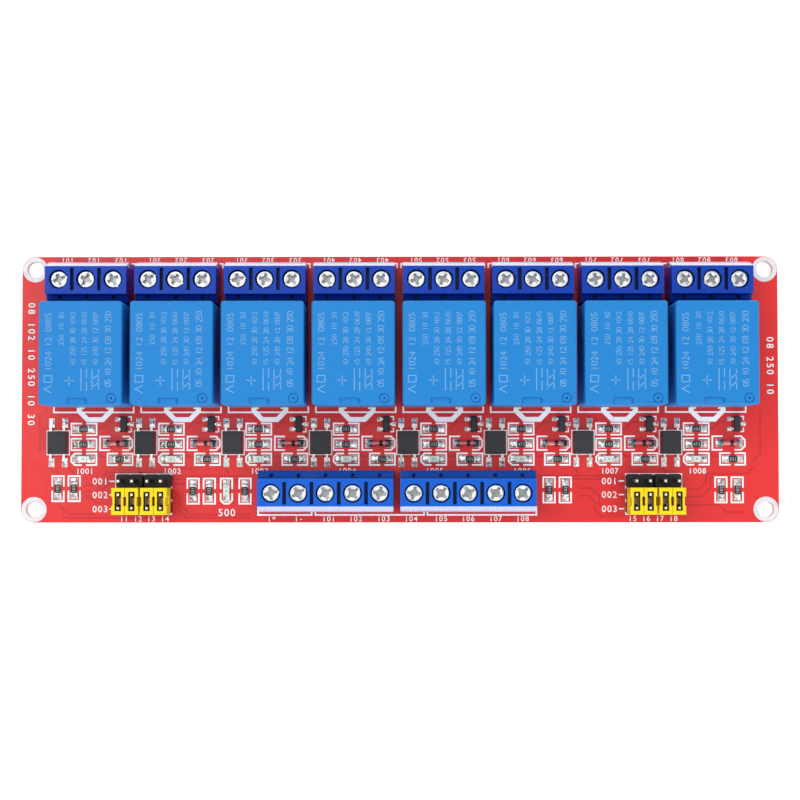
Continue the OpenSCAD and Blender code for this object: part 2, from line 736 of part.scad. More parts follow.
module output_screws() {
  color("lightgray") at_output_poles() translate([0, 0, board_t]) clamp_screw();
}
module input_screws() {
  color("lightgray") at_input_poles() translate([0, 0, board_t]) clamp_screw();
}
module output_clamps() {
  color("silver") at_output_poles() translate([0, 0, board_t]) wire_clamp();
}
module input_clamps() {
  color("silver") at_input_poles() translate([0, 0, board_t]) wire_clamp();
}
module output_terminal_pins() {
  color("silver") at_output_poles() translate([0, 0, board_t]) terminal_pin();
}
module input_terminal_pins() {
  color("silver") at_input_poles() translate([0, 0, board_t]) terminal_pin();
}

// Header block of two by three cells, with a notch where two cells meet at an outer face.
module header_block(b) {
  w = 2 * pin_pitch;
  l = 3 * pin_pitch;
  color("dimgray") translate([header_x(b), header_y, board_t]) difference() {
    centred_box(w, l, header_h);
    for (sx = [-1, 1]) for (k = [-1.5:1:1.5]) translate([sx * w / 2, k * pin_pitch, -cut])
      rotate(45) centred_box(notch * sqrt(2), notch * sqrt(2), header_h + 2 * cut);
    for (sy = [-1, 1]) translate([0, sy * l / 2, -cut])
      rotate(45) centred_box(notch * sqrt(2), notch * sqrt(2), header_h + 2 * cut);
    for (sx = [-1, 1]) for (row = [-1:1]) translate([sx * pin_pitch / 2, row * pin_pitch, -cut])
      centred_box(pin_w, pin_w, header_h + 2 * cut);
  }
}

module header_pins() {
  color("gold") at_header_pins() translate([0, 0, -pin_out])
    centred_box(pin_w, pin_w, pin_out + board_t + pin_h);
}

// Jumper cap over the two rear pins of a column: open below, with a slot in its roof and
// a finger groove in each long side above its collar.
module jumper_cap(c) {
  color("gold") translate([cap_x(c), header_y - pin_pitch / 2, cap_z]) difference() {
    centred_box(cap_w, cap_l, cap_h);
    translate([0, 0, -cut]) centred_box(cap_w - 2 * cap_wall, cap_l - 2 * cap_wall, cap_h - cap_roof + cut);
    centred_box(cap_slot_w, cap_slot_l, cap_h + cut);
    for (sx = [-1, 1]) translate([sx * cap_w / 2, 0, grip_z])
      centred_box(2 * grip_depth, grip_l, cap_h);
  }
}

// Contact clips: two leaves that grip the pins, joined by a bridge between them.
module jumper_clips() {
  color("peru") for (c = [1:8]) translate([cap_x(c), header_y - pin_pitch / 2, cap_z + clip_lift]) {
    for (sx = [-1, 1]) translate([sx * (pin_w + clip_t) / 2, 0, 0])
      centred_box(clip_t, cap_slot_l + slot_end, clip_h);
    centred_box(pin_w + clip_t, pin_pitch - pin_w - 2 * clip_free, bridge_h);
  }
}

module optocouplers() {
  color("dimgray") at_optos() translate([0, 0, part_z + stand_off]) difference() {
    drafted_body(opto_w, opto_l, opto_h);
    translate([0.85 - opto_w / 2, 0.85 - opto_l / 2, opto_h - 0.1]) cylinder(d = 0.7, h = 1, $fn = 20);
  }
}

module optocoupler_leads() {
  color("silver") at_opto_leads() translate([0, 0, part_z])
    gull_lead(opto_l / 2, opto_reach, stand_off + opto_h / 2);
}

module transistors() {
  color("dimgray") at_transistors() translate([0, 0, part_z + stand_off]) drafted_body(sot_w, sot_l, sot_h);
}

module transistor_leads() {
  color("silver") at_sot_leads() translate([0, 0, part_z])
    gull_lead(sot_w / 2, sot_reach, stand_off + sot_h / 2);
}

module diode_glasses() {
  color("orangered") at_diodes() translate([-diode_l / 2 + diode_end, 0, part_z + diode_d / 2])
    rotate([0, 90, 0]) cylinder(d = diode_d - 0.1, h = diode_l - 2 * diode_end, $fn = 32);
}

module diode_ends() {
  color("silver") at_diodes() for (x = [-diode_l / 2, diode_l / 2 - diode_end])
    translate([x, 0, part_z + diode_d / 2]) rotate([0, 90, 0]) cylinder(d = diode_d, h = diode_end, $fn = 32);
}

module resistors() {
  color("black") at_resistors() translate([0, 0, part_z + chip_plate])
    centred_box(chip_l - 2 * chip_plate, chip_w - 2 * chip_plate, chip_h);
}

// Metal end caps, a thin box around each end of the chip.
module chip_ends(h) {
  for (sx = [-1, 1]) difference() {
    translate([sx * (chip_l - chip_end) / 2, 0, 0]) centred_box(chip_end, chip_w, h + 2 * chip_plate);
    translate([0, 0, chip_plate]) centred_box(chip_l - 2 * chip_plate, chip_w - 2 * chip_plate, h);
  }
}

module resistor_ends() { color("silver") at_resistors() translate([0, 0, part_z]) chip_ends(chip_h); }

// Lamp lens: a block with drafted sides, moulded onto the base between its metal ends.
module lamp_lenses() {
  l = chip_l - 2 * chip_end;
  color("honeydew") at_lamps() translate([0, 0, part_z + lamp_base_h]) rotate(90)
    side_prism(chip_w - 0.1, [
      [-l / 2 - 0.1, 0], [l / 2 + 0.1, 0], [l / 2, lens_h - lamp_base_h], [-l / 2, lens_h - lamp_base_h]
    ]);
}

module lamp_bases() {
  color("khaki") at_lamps() translate([0, 0, part_z]) centred_box(chip_l, chip_w, lamp_base_h);
}

circuit_board();
hole_rings();
solder_pads();
solder_joints();
for (i = [1:channels]) {
  relay_cover(i);
  output_terminal(i);
}
relay_bases();
relay_pins();
for (i = [1:2]) {
  input_terminal(i);
}
output_screws();
input_screws();
output_clamps();
input_clamps();
output_terminal_pins();
input_terminal_pins();
for (b = [1:4]) {
  header_block(b);
}
header_pins();
for (c = [1:8]) {
  jumper_cap(c);
}
jumper_clips();
optocouplers();
optocoupler_leads();
transistors();
transistor_leads();
diode_glasses();
diode_ends();
resistors();
resistor_ends();
lamp_lenses();
lamp_bases();
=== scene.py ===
import math

import bpy
from mathutils import Matrix, Vector


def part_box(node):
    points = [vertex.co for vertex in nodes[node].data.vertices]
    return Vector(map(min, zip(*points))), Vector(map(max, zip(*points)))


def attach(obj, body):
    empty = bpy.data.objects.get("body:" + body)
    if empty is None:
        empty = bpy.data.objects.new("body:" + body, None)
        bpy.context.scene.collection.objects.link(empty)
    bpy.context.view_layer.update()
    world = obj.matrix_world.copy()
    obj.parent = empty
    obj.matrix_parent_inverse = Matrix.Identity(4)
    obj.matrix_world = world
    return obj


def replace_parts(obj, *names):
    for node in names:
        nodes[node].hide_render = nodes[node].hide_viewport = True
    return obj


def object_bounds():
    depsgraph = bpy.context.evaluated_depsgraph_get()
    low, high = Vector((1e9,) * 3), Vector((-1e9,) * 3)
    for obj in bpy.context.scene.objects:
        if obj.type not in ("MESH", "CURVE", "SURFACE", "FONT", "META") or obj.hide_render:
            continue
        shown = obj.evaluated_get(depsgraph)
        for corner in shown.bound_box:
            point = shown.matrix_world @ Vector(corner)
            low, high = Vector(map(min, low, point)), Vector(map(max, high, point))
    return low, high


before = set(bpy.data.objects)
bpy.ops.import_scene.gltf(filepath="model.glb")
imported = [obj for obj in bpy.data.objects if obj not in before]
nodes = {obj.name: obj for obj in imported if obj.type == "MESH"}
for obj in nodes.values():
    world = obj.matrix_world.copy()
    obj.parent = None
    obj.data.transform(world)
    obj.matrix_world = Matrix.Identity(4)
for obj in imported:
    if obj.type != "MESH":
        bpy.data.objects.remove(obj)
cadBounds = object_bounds()
scene = bpy.context.scene
mm = 0.001
boardLow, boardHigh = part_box("circuit_board")
topZ = boardHigh.z
print("frame loaded:", len(nodes), "nodes")


def selectOnly(*objs):
    bpy.ops.object.select_all(action="DESELECT")
    for obj in objs:
        obj.select_set(True)
    bpy.context.view_layer.objects.active = objs[0]


def applyPlace(obj):
    selectOnly(obj)
    bpy.ops.object.transform_apply(location=True, rotation=True, scale=True)
    return obj


def choose(obj, kind, test):
    # leaves the object in edit mode, with the edges or faces that pass the test selected
    selectOnly(obj)
    bpy.ops.object.mode_set(mode="EDIT")
    bpy.ops.mesh.select_mode(type=kind)
    bpy.ops.mesh.select_all(action="DESELECT")
    bpy.ops.object.mode_set(mode="OBJECT")
    data = obj.data
    if kind == "FACE":
        for face in data.polygons:
            face.select = test(face.center, face.normal)
    else:
        for edge in data.edges:
            a, b = (data.vertices[i].co for i in edge.vertices)
            edge.select = test(a, b)
    bpy.ops.object.mode_set(mode="EDIT")


def editAll(obj):
    selectOnly(obj)
    bpy.ops.object.mode_set(mode="EDIT")
    bpy.ops.mesh.select_all(action="SELECT")


def leaveEdit():
    bpy.ops.object.mode_set(mode="OBJECT")


def addModifier(obj, kind, **settings):
    selectOnly(obj)
    modifier = obj.modifiers.new(kind.title(), kind)
    for key, value in settings.items():
        setattr(modifier, key, value)
    bpy.ops.object.modifier_apply(modifier=modifier.name)
    return obj


def newBox(low, high, unit=mm):
    # a box between two corners, given in millimetres unless the unit says otherwise
    low, high = (Vector([v * unit for v in corner]) for corner in (low, high))
    bpy.ops.mesh.primitive_cube_add(size=1, location=(low + high) / 2)
    box = bpy.context.active_object
    box.scale = high - low
    return applyPlace(box)


def newCylinder(radius, depth, vertices, z=0, tilt=0, ends="NGON"):
    # an upright cylinder in millimetres, laid along X by a tilt of a quarter turn
    bpy.ops.mesh.primitive_cylinder_add(
        vertices=vertices, radius=radius * mm, depth=depth * mm, end_fill_type=ends,
        location=(0, 0, z * mm), rotation=(0, tilt, 0),
    )
    return applyPlace(bpy.context.active_object)


def copyTo(source, place, turn=0, size=(1, 1, 1)):
    twin = source.copy()
    twin.data = source.data.copy()
    scene.collection.objects.link(twin)
    turned = Matrix.Rotation(turn, 4, "Z") @ Matrix.Diagonal((*size, 1))
    twin.data.transform(Matrix.Translation(place) @ turned)
    return twin


def joined(parts):
    selectOnly(*parts)
    if len(parts) > 1:
        bpy.ops.object.join()
    return bpy.context.active_object


def smooth(obj, angle):
    selectOnly(obj)
    bpy.ops.object.shade_smooth_by_angle(angle=math.radians(angle))
    return obj


def addPiece(obj, name, look):
    obj.name = name
    obj.data.name = name
    obj.data.materials.clear()
    obj.data.materials.append(finish[look])
    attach(obj, "root")
    return obj


def discard(*objs):
    for obj in objs:
        bpy.data.objects.remove(obj)


def bevelEdges(obj, width, segments=2, angle=30):
    addModifier(
        obj, "BEVEL", width=width * mm, segments=segments,
        limit_method="ANGLE", angle_limit=math.radians(angle),
    )


def scatter(source, places):
    # joins copies of the source, one for each place and turn, and removes the source
    made = [copyTo(source, place, turn) for place, turn in places]
    discard(source)
    return joined(made)


def solidsOf(name):
    # middle and size of each separate solid in one CAD node, from left to right
    data = nodes[name].data
    owner = {}
    parent = list(range(len(data.vertices)))

    def root(i):
        while parent[i] != i:
            parent[i] = parent[parent[i]]
            i = parent[i]
        return i

    for vertex in data.vertices:
        key = tuple(round(c * 1e6) for c in vertex.co)
        first = owner.setdefault(key, vertex.index)
        parent[root(vertex.index)] = root(first)
    for face in data.polygons:
        for i in face.vertices[1:]:
            parent[root(i)] = root(face.vertices[0])
    boxes = {}
    for vertex in data.vertices:
        start = (vertex.co.copy(), vertex.co.copy())
        low, high = boxes.setdefault(root(vertex.index), start)
        for k in range(3):
            low[k] = min(low[k], vertex.co[k])
            high[k] = max(high[k], vertex.co[k])
    found = [((low + high) / 2, high - low) for low, high in boxes.values()]
    return sorted(found, key=lambda solid: (round(solid[0].x, 5), round(solid[0].y, 5)))


def centreOf(name):
    low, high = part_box(name)
    return (low + high) / 2


def turnOf(size):
    # small parts lie along X, or along Y by a quarter turn
    return 0 if size.x > size.y else math.pi / 2


relayCentres = [centreOf(f"relay_cover_{i}") for i in range(1, 9)]
outputCentres = [centreOf(f"output_terminal_{i}") for i in range(1, 9)]
chips = solidsOf("resistors")
lamps = solidsOf("lamp_bases")
optos = solidsOf("optocouplers")
diodes = solidsOf("diode_glasses")
transistors = solidsOf("transistors")
print("small parts:", len(chips), len(lamps), len(optos), len(diodes), len(transistors))


def feed(tree, socket, value):
    # links the value where it is a socket, and otherwise sets it
    if isinstance(value, bpy.types.NodeSocket):
        tree.links.new(value, socket)
    else:
        socket.default_value = value


def addNode(tree, kind, operation=None, **values):
    node = tree.nodes.new(kind)
    if operation:
        node.operation = operation
    for key, value in values.items():
        feed(tree, node.inputs[key], value)
    return node


def calc(tree, operation, *values):
    node = tree.nodes.new("ShaderNodeMath")
    node.operation = operation
    for socket, value in zip(node.inputs, values):
        feed(tree, socket, value)
    return node.outputs[0]


def mixColour(tree, factor, first, second, blend="MIX"):
    node = tree.nodes.new("ShaderNodeMix")
    node.data_type = "RGBA"
    node.blend_type = blend
    for i, value in ((0, factor), (6, first), (7, second)):
        feed(tree, node.inputs[i], value)
    return node.outputs[2]


def spread(tree, value, fromLow, fromHigh, toLow, toHigh):
    node = tree.nodes.new("ShaderNodeMapRange")
    for i, number in enumerate((value, fromLow, fromHigh, toLow, toHigh)):
        feed(tree, node.inputs[i], number)
    return node.outputs[0]


def noise(tree, vector, scale, detail=2, rough=0.5):
    node = addNode(
        tree, "ShaderNodeTexNoise", Vector=vector, Scale=scale, Detail=detail, Roughness=rough,
    )
    return node.outputs["Fac"]


viewpoint = {  # millimetres over the middle of the board's top, degrees and millimetres of lens
    "place": (1.613, -15.489, 369.46), "tilt": (2.0803, 0.2418, -0.036), "lens": 86.8,
}


def makeCamera():
    x, y, z = viewpoint["place"]
    bpy.ops.object.camera_add(
        location=(x * mm, y * mm, z * mm + topZ),
        rotation=tuple(math.radians(a) for a in viewpoint["tilt"]),
    )
    camera = bpy.context.active_object
    camera.data.lens = viewpoint["lens"]
    camera.data.clip_start = 0.01
    camera.data.clip_end = 50
    scene.camera = camera


studio = {
    "world": 0.55,
    "floorGlow": 0.7,
    "floorDrop": 0.2,  # millimetres under the object
    "lampSize": 0.5,
    "lamps": [  # place and watts, all aimed at the board
        ((-0.28, 0.22, 0.75), 1.7),
        ((0.35, -0.3, 0.7), 1.1),
        ((0, -0.75, 0.28), 2.6),
        ((0, 0.75, 0.28), 1.7),
    ],
}


def whiteRays(tree):
    # 1 for camera, glossy and transmission rays, 0 for the rest
    path = tree.nodes.new("ShaderNodeLightPath").outputs
    seen = calc(tree, "MAXIMUM", path["Is Camera Ray"], path["Is Glossy Ray"])
    return calc(tree, "MAXIMUM", seen, path["Is Transmission Ray"])


def makeWorld():
    # even soft light for the object, on white for the camera, gloss and glass
    world = bpy.data.worlds.new("studioWorld")
    scene.world = world
    world.use_nodes = True
    tree = world.node_tree
    back = tree.nodes["Background"]
    back.inputs["Color"].default_value = (1, 1, 1, 1)
    level = spread(tree, whiteRays(tree), 0, 1, studio["world"], 1)
    tree.links.new(level, back.inputs["Strength"])


def makeLamps():
    for place, power in studio["lamps"]:
        bpy.ops.object.light_add(type="AREA", location=place)
        lamp = bpy.context.active_object
        lamp.data.size = studio["lampSize"]
        lamp.data.energy = power
        lamp.rotation_euler = (-Vector(place)).to_track_quat("-Z", "Y").to_euler()


def makeFloor():
    # a pale floor that reads as white wherever the object's shadow doesn't fall
    drop = cadBounds[0].z - studio["floorDrop"] * mm
    bpy.ops.mesh.primitive_plane_add(size=4, location=(0, 0, drop))
    floor = bpy.context.active_object
    floor.name = "floor"
    material = bpy.data.materials.new("paleFloor")
    material.use_nodes = True
    tree = material.node_tree
    tree.nodes.clear()
    diffuse = addNode(tree, "ShaderNodeBsdfDiffuse", Color=(0.8, 0.8, 0.8, 1))
    level = calc(tree, "MULTIPLY", whiteRays(tree), studio["floorGlow"])
    glow = addNode(tree, "ShaderNodeEmission", Color=(1, 1, 1, 1), Strength=level)
    add = tree.nodes.new("ShaderNodeAddShader")
    tree.links.new(diffuse.outputs[0], add.inputs[0])
    tree.links.new(glow.outputs[0], add.inputs[1])
    side = tree.nodes.new("ShaderNodeNewGeometry")  # clear from below, to show the underside
    clear = tree.nodes.new("ShaderNodeBsdfTransparent")
    mix = tree.nodes.new("ShaderNodeMixShader")
    tree.links.new(side.outputs["Backfacing"], mix.inputs[0])
    tree.links.new(add.outputs[0], mix.inputs[1])
    tree.links.new(clear.outputs[0], mix.inputs[2])
    out = tree.nodes.new("ShaderNodeOutputMaterial")
    tree.links.new(mix.outputs[0], out.inputs[0])
    floor.data.materials.append(material)


makeCamera()
makeWorld()
makeLamps()
makeFloor()
scene.view_settings.view_transform = "Standard"
print("camera, light and floor made")


def newGroup(name, colours, numbers):
    # a node group from coordinates, colours and numbers to a colour, a roughness and a normal
    group = bpy.data.node_groups.new(name, "ShaderNodeTree")
    sockets = group.interface
    sockets.new_socket("Vector", in_out="INPUT", socket_type="NodeSocketVector")
    for key, value in colours.items():
        socket = sockets.new_socket(key, in_out="INPUT", socket_type="NodeSocketColor")
        socket.default_value = (*value, 1)
    for key, value in numbers.items():
        socket = sockets.new_socket(key, in_out="INPUT", socket_type="NodeSocketFloat")
        socket.default_value = value
    for key, kind in (("Colour", "Color"), ("Roughness", "Float"), ("Normal", "Vector")):
        sockets.new_socket(key, in_out="OUTPUT", socket_type=f"NodeSocket{kind}")
    start = group.nodes.new("NodeGroupInput")
    end = group.nodes.new("NodeGroupOutput")
    return group, start.outputs, end.inputs


def makeMouldGroup():
    # moulded plastic: cloudy flow of colour, fine spark texture and uneven gloss
    group, given, result = newGroup(
        "mouldedSkin",
        {"Colour": (0.5, 0.5, 0.5)},
        {"Flow": 0.06, "Grain": 9.0, "Depth": 0.1, "Gloss": 0.35},
    )
    vector = given["Vector"]
    cloud = noise(group, vector, 0.22, 3)
    shade = calc(group, "MULTIPLY_ADD", cloud, given["Flow"], 1.0)
    level = calc(group, "SUBTRACT", shade, calc(group, "MULTIPLY", given["Flow"], 0.5))
    bright = addNode(
        group, "ShaderNodeVectorMath", "SCALE", Vector=given["Colour"], Scale=level,
    )
    smear = noise(group, vector, 0.8, 4, 0.65)
    uneven = spread(group, smear, 0.3, 0.7, -0.07, 0.07)
    spark = noise(group, vector, given["Grain"], 3, 0.6)
    bump = addNode(
        group, "ShaderNodeBump", Height=spark, Distance=0.00004, Strength=given["Depth"],
    )
    feed(group, result["Colour"], bright.outputs[0])
    feed(group, result["Roughness"], calc(group, "ADD", uneven, given["Gloss"]))
    feed(group, result["Normal"], bump.outputs[0])
    return group


def makeMetalGroup():
    # plated metal: streaks of tarnish, fine scratches and soft dents
    group, given, result = newGroup(
        "platedSkin",
        {"Colour": (0.8, 0.8, 0.8), "Dull": (0.5, 0.5, 0.5)},
        {"Spread": 0.35, "Size": 1.2, "Dents": 0.15, "Gloss": 0.25},
    )
    vector = given["Vector"]
    patch = noise(group, vector, given["Size"], 4, 0.6)
    mask = spread(group, patch, 0.42, 0.68, 0.0, 1.0)
    amount = calc(group, "MULTIPLY", mask, given["Spread"])
    fine = noise(group, vector, 14, 2)
    scratch = spread(group, fine, 0.3, 0.7, -0.06, 0.1)
    lumps = noise(group, vector, 2.6, 2)
    bump = addNode(
        group, "ShaderNodeBump", Height=lumps, Distance=0.0001, Strength=given["Dents"],
    )
    feed(group, result["Colour"], mixColour(group, amount, given["Colour"], given["Dull"]))
    feed(group, result["Roughness"], calc(group, "ADD", scratch, given["Gloss"]))
    feed(group, result["Normal"], bump.outputs[0])
    return group


mouldedSkin = makeMouldGroup()
platedSkin = makeMetalGroup()


def newMaterial(name):
    # a Principled material with Object coordinates in millimetres
    material = bpy.data.materials.new(name)
    material.use_nodes = True
    tree = material.node_tree
    shader = tree.nodes["Principled BSDF"]
    coords = tree.nodes.new("ShaderNodeTexCoord")
    scale = tree.nodes.new("ShaderNodeMapping")
    scale.inputs["Scale"].default_value = (1000, 1000, 1000)
    tree.links.new(coords.outputs["Object"], scale.inputs["Vector"])
    return material, tree, shader.inputs, scale.outputs["Vector"]


def useSkin(tree, shader, group, vector, **values):
    # a shared effect on a shader, with the values of one material
    node = tree.nodes.new("ShaderNodeGroup")
    node.node_tree = group
    tree.links.new(vector, node.inputs["Vector"])
    for key, value in values.items():
        node.inputs[key].default_value = value
    skin = node.outputs
    for key, name in (("Colour", "Base Color"), ("Roughness", "Roughness"), ("Normal", "Normal")):
        tree.links.new(skin[key], shader[name])
    return skin


def plasticMaterial(name, colour, flow, grain, depth, gloss, specular):
    material, tree, shader, vector = newMaterial(name)
    useSkin(
        tree, shader, mouldedSkin, vector,
        Colour=(*colour, 1), Flow=flow, Grain=grain, Depth=depth, Gloss=gloss,
    )
    shader["Specular IOR Level"].default_value = specular
    return material


def metalMaterial(name, colour, dull, patches, size, dents, gloss, metallic=1.0):
    material, tree, shader, vector = newMaterial(name)
    useSkin(
        tree, shader, platedSkin, vector,
        Colour=(*colour, 1), Dull=(*dull, 1), Spread=patches, Size=size, Dents=dents, Gloss=gloss,
    )
    shader["Metallic"].default_value = metallic
    return material


def insideOf(material):
    # tree, shader inputs, shared effect and split coordinates of a finished material
    tree = material.node_tree
    kinds = {node.type: node for node in tree.nodes}
    split = addNode(tree, "ShaderNodeSeparateXYZ", Vector=kinds["MAPPING"].outputs[0])
    return tree, kinds["BSDF_PRINCIPLED"].inputs, kinds["GROUP"].outputs, split.outputs


def shaded(colour, factor=1.0):
    return (*[v * factor for v in colour], 1)


blockShape = {  # millimetres from a terminal's faces, then the painted shade and painted light there
    "slopeDeep": 1.13, "slopeDrop": 4.4, "ledgeDeep": 1.48, "slitDeep": 1.6, "slitFloor": 0.05,
    "ledgeShade": 0.6, "slitShade": 0.15, "slopeLightTint": (0.55, 0.66, 0.95),
    "slopeIor": 2.1, "slopeRough": 0.15,
}


def blockMaterial(name, colour, node, pale):
    # terminal plastic: glossier on the sloped wire side and paler there by painted light, darker on
    # the ledge and in slits by painted shade
    material = plasticMaterial(name, colour, 0.07, 8.0, 0.12, 0.34, 0.2)
    tree, shader, skin, split = insideOf(material)
    low, high = (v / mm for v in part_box(node))
    outer, inner = max(abs(low.y), abs(high.y)), min(abs(low.y), abs(high.y))
    away = calc(tree, "ABSOLUTE", split["Y"])
    front = calc(tree, "GREATER_THAN", away, outer - blockShape["slopeDeep"])
    above = calc(tree, "GREATER_THAN", split["Z"], high.z - blockShape["slopeDrop"])
    slope = calc(tree, "MULTIPLY", front, above)
    ledge = calc(tree, "LESS_THAN", away, inner + blockShape["ledgeDeep"])
    offFloor = calc(tree, "SUBTRACT", split["Z"], high.z - blockShape["slitDeep"])
    fromFloor = calc(tree, "ABSOLUTE", offFloor)
    slit = calc(tree, "LESS_THAN", fromFloor, blockShape["slitFloor"])
    # painted shade: the ledge in the relays' shadow and the slit floors are darkened
    withLedgeShade = mixColour(tree, ledge, skin["Colour"], shaded(colour, blockShape["ledgeShade"]))
    dark = mixColour(tree, slit, withLedgeShade, shaded(colour, blockShape["slitShade"]))
    # painted light: the slope is paled towards a pale blue, as if lit by the white surroundings
    amount = calc(tree, "MULTIPLY", slope, pale)
    withSlopeLight = mixColour(tree, amount, dark, shaded(blockShape["slopeLightTint"]))
    feed(tree, shader["Base Color"], withSlopeLight)
    feed(tree, shader["Coat Weight"], slope)
    feed(tree, shader["Coat Roughness"], blockShape["slopeRough"])
    feed(tree, shader["Coat IOR"], blockShape["slopeIor"])
    return material


def paintShadeBelow(material, level, factor):
    # paints shade on a metal below a height, as in a screw's recess or on a pin's flanks
    tree, shader, skin, split = insideOf(material)
    deep = calc(tree, "LESS_THAN", split["Z"], level / mm)
    shade = mixColour(tree, 1.0, skin["Colour"], (factor, factor, factor, 1), "MULTIPLY")
    feed(tree, shader["Base Color"], mixColour(tree, deep, skin["Colour"], shade))


print("shared effects made")

boardLook = {
    "mask": (0.84, 0.026, 0.028), "laminate": (0.62, 0.5, 0.3), "fibre": (0.4, 0.29, 0.15),
    "maskThick": 0.03, "weave": 2.6, "waver": 1.5, "edgeRough": 0.35, "specular": 0.35,
}


def maskMaterial():
    # glossy solder mask over woven laminate, which shows at the sawn edge
    material, tree, shader, vector = newMaterial("redSolderMask")
    skin = useSkin(
        tree, shader, mouldedSkin, vector,
        Colour=shaded(boardLook["mask"]), Flow=0.16, Grain=2.2, Depth=0.1, Gloss=0.3,
    )
    split = addNode(tree, "ShaderNodeSeparateXYZ", Vector=vector)
    middle = (boardLow.z + boardHigh.z) / 2 / mm
    half = (boardHigh.z - boardLow.z) / 2 / mm
    off = calc(tree, "SUBTRACT", split.outputs["Z"], middle)
    core = calc(tree, "LESS_THAN", calc(tree, "ABSOLUTE", off), half - boardLook["maskThick"])
    weave = addNode(
        tree, "ShaderNodeTexWave",
        Vector=vector, Scale=boardLook["weave"], Distortion=boardLook["waver"],
    )
    weave.bands_direction = "Z"
    fibre = mixColour(
        tree, weave.outputs["Fac"], shaded(boardLook["laminate"]), shaded(boardLook["fibre"]),
    )
    rough = calc(tree, "MULTIPLY_ADD", core, boardLook["edgeRough"], skin["Roughness"])
    feed(tree, shader["Base Color"], mixColour(tree, core, skin["Colour"], fibre))
    feed(tree, shader["Roughness"], rough)
    feed(tree, shader["Specular IOR Level"], boardLook["specular"])
    return material


def diodeGlassMaterial():
    material, tree, shader, vector = newMaterial("redGlass")
    cloud = noise(tree, vector, 1.4, 2)
    colour = mixColour(tree, cloud, (0.8, 0.03, 0.04, 1), (0.95, 0.22, 0.2, 1))
    feed(tree, shader["Base Color"], colour)
    shader["Roughness"].default_value = 0.06
    shader["Transmission Weight"].default_value = 0.1
    shader["Coat Weight"].default_value = 1.0
    shader["IOR"].default_value = 1.5
    return material


def resistorMaterial():
    # black glaze on the top 0.12 mm of a pale ceramic body
    material, tree, shader, vector = newMaterial("resistorGlaze")
    cloud = noise(tree, vector, 3, 3)
    ceramic = mixColour(tree, cloud, (0.62, 0.6, 0.54, 1), (0.78, 0.76, 0.7, 1))
    glaze = mixColour(tree, cloud, (0.01, 0.01, 0.012, 1), (0.035, 0.035, 0.038, 1))
    split = addNode(tree, "ShaderNodeSeparateXYZ", Vector=vector)
    centre, size = chips[0]
    top = calc(tree, "GREATER_THAN", split.outputs["Z"], (centre.z + size.z / 2) / mm - 0.12)
    feed(tree, shader["Base Color"], mixColour(tree, top, ceramic, glaze))
    feed(tree, shader["Roughness"], spread(tree, cloud, 0.3, 0.7, 0.25, 0.45))
    return material


def lampLensMaterial():
    material, tree, shader, vector = newMaterial("lampResin")
    cloud = noise(tree, vector, 2, 3)
    colour = mixColour(tree, cloud, (0.76, 0.86, 0.74, 1), (0.95, 0.97, 0.93, 1))
    feed(tree, shader["Base Color"], colour)
    feed(tree, shader["Roughness"], spread(tree, cloud, 0.3, 0.7, 0.12, 0.25))
    shader["Subsurface Weight"].default_value = 0.3
    shader["Subsurface Scale"].default_value = 0.0005
    shader["Coat Weight"].default_value = 0.6
    return material


plastics = {  # material name, colour, flow, grain, depth, gloss and specular level
    "trace": ("maskOverCopper", (0.64, 0.017, 0.021), 0.15, 2.2, 0.1, 0.28, 0.35),
    "relay": ("relayCaseBlue", (0.014, 0.235, 0.64), 0.05, 7, 0.14, 0.42, 0.2),
    # painted shadow line round the relay recess
    "recessShadow": ("relayShadowLine", (0.005, 0.07, 0.26), 0.05, 7, 0.1, 0.6, 0.1),
    "base": ("relayBaseBlue", (0.012, 0.03, 0.1), 0.1, 8, 0.15, 0.5, 0.35),
    "yellow": ("capYellow", (0.98, 0.74, 0.002), 0.08, 8, 0.12, 0.36, 0.3),
    "glaze": ("chipGlaze", (0.022, 0.022, 0.025), 0.3, 6, 0.15, 0.35, 0.3),
    "header": ("headerBlack", (0.02, 0.02, 0.022), 0.2, 9, 0.2, 0.5, 0.25),
    "moulding": ("mouldingCompound", (0.046, 0.046, 0.05), 0.2, 14, 0.3, 0.55, 0.2),
    "ink": ("whiteInk", (0.97, 0.97, 0.96), 0.05, 12, 0.3, 0.6, 0.35),
    "relayInk": ("paleBlueInk", (0.15, 0.4, 0.76), 0.12, 12, 0.2, 0.55, 0.35),
    "chipInk": ("chipInk", (0.55, 0.55, 0.54), 0.2, 12, 0.2, 0.6, 0.35),
    "lampBase": ("lampLaminate", (0.5, 0.5, 0.4), 0.2, 6, 0.2, 0.5, 0.35),
    "die": ("greenDie", (0.25, 0.62, 0.36), 0.2, 6, 0.1, 0.4, 0.35),
    "band": ("bandPaint", (0.012, 0.01, 0.01), 0.2, 6, 0.1, 0.3, 0.35),
}
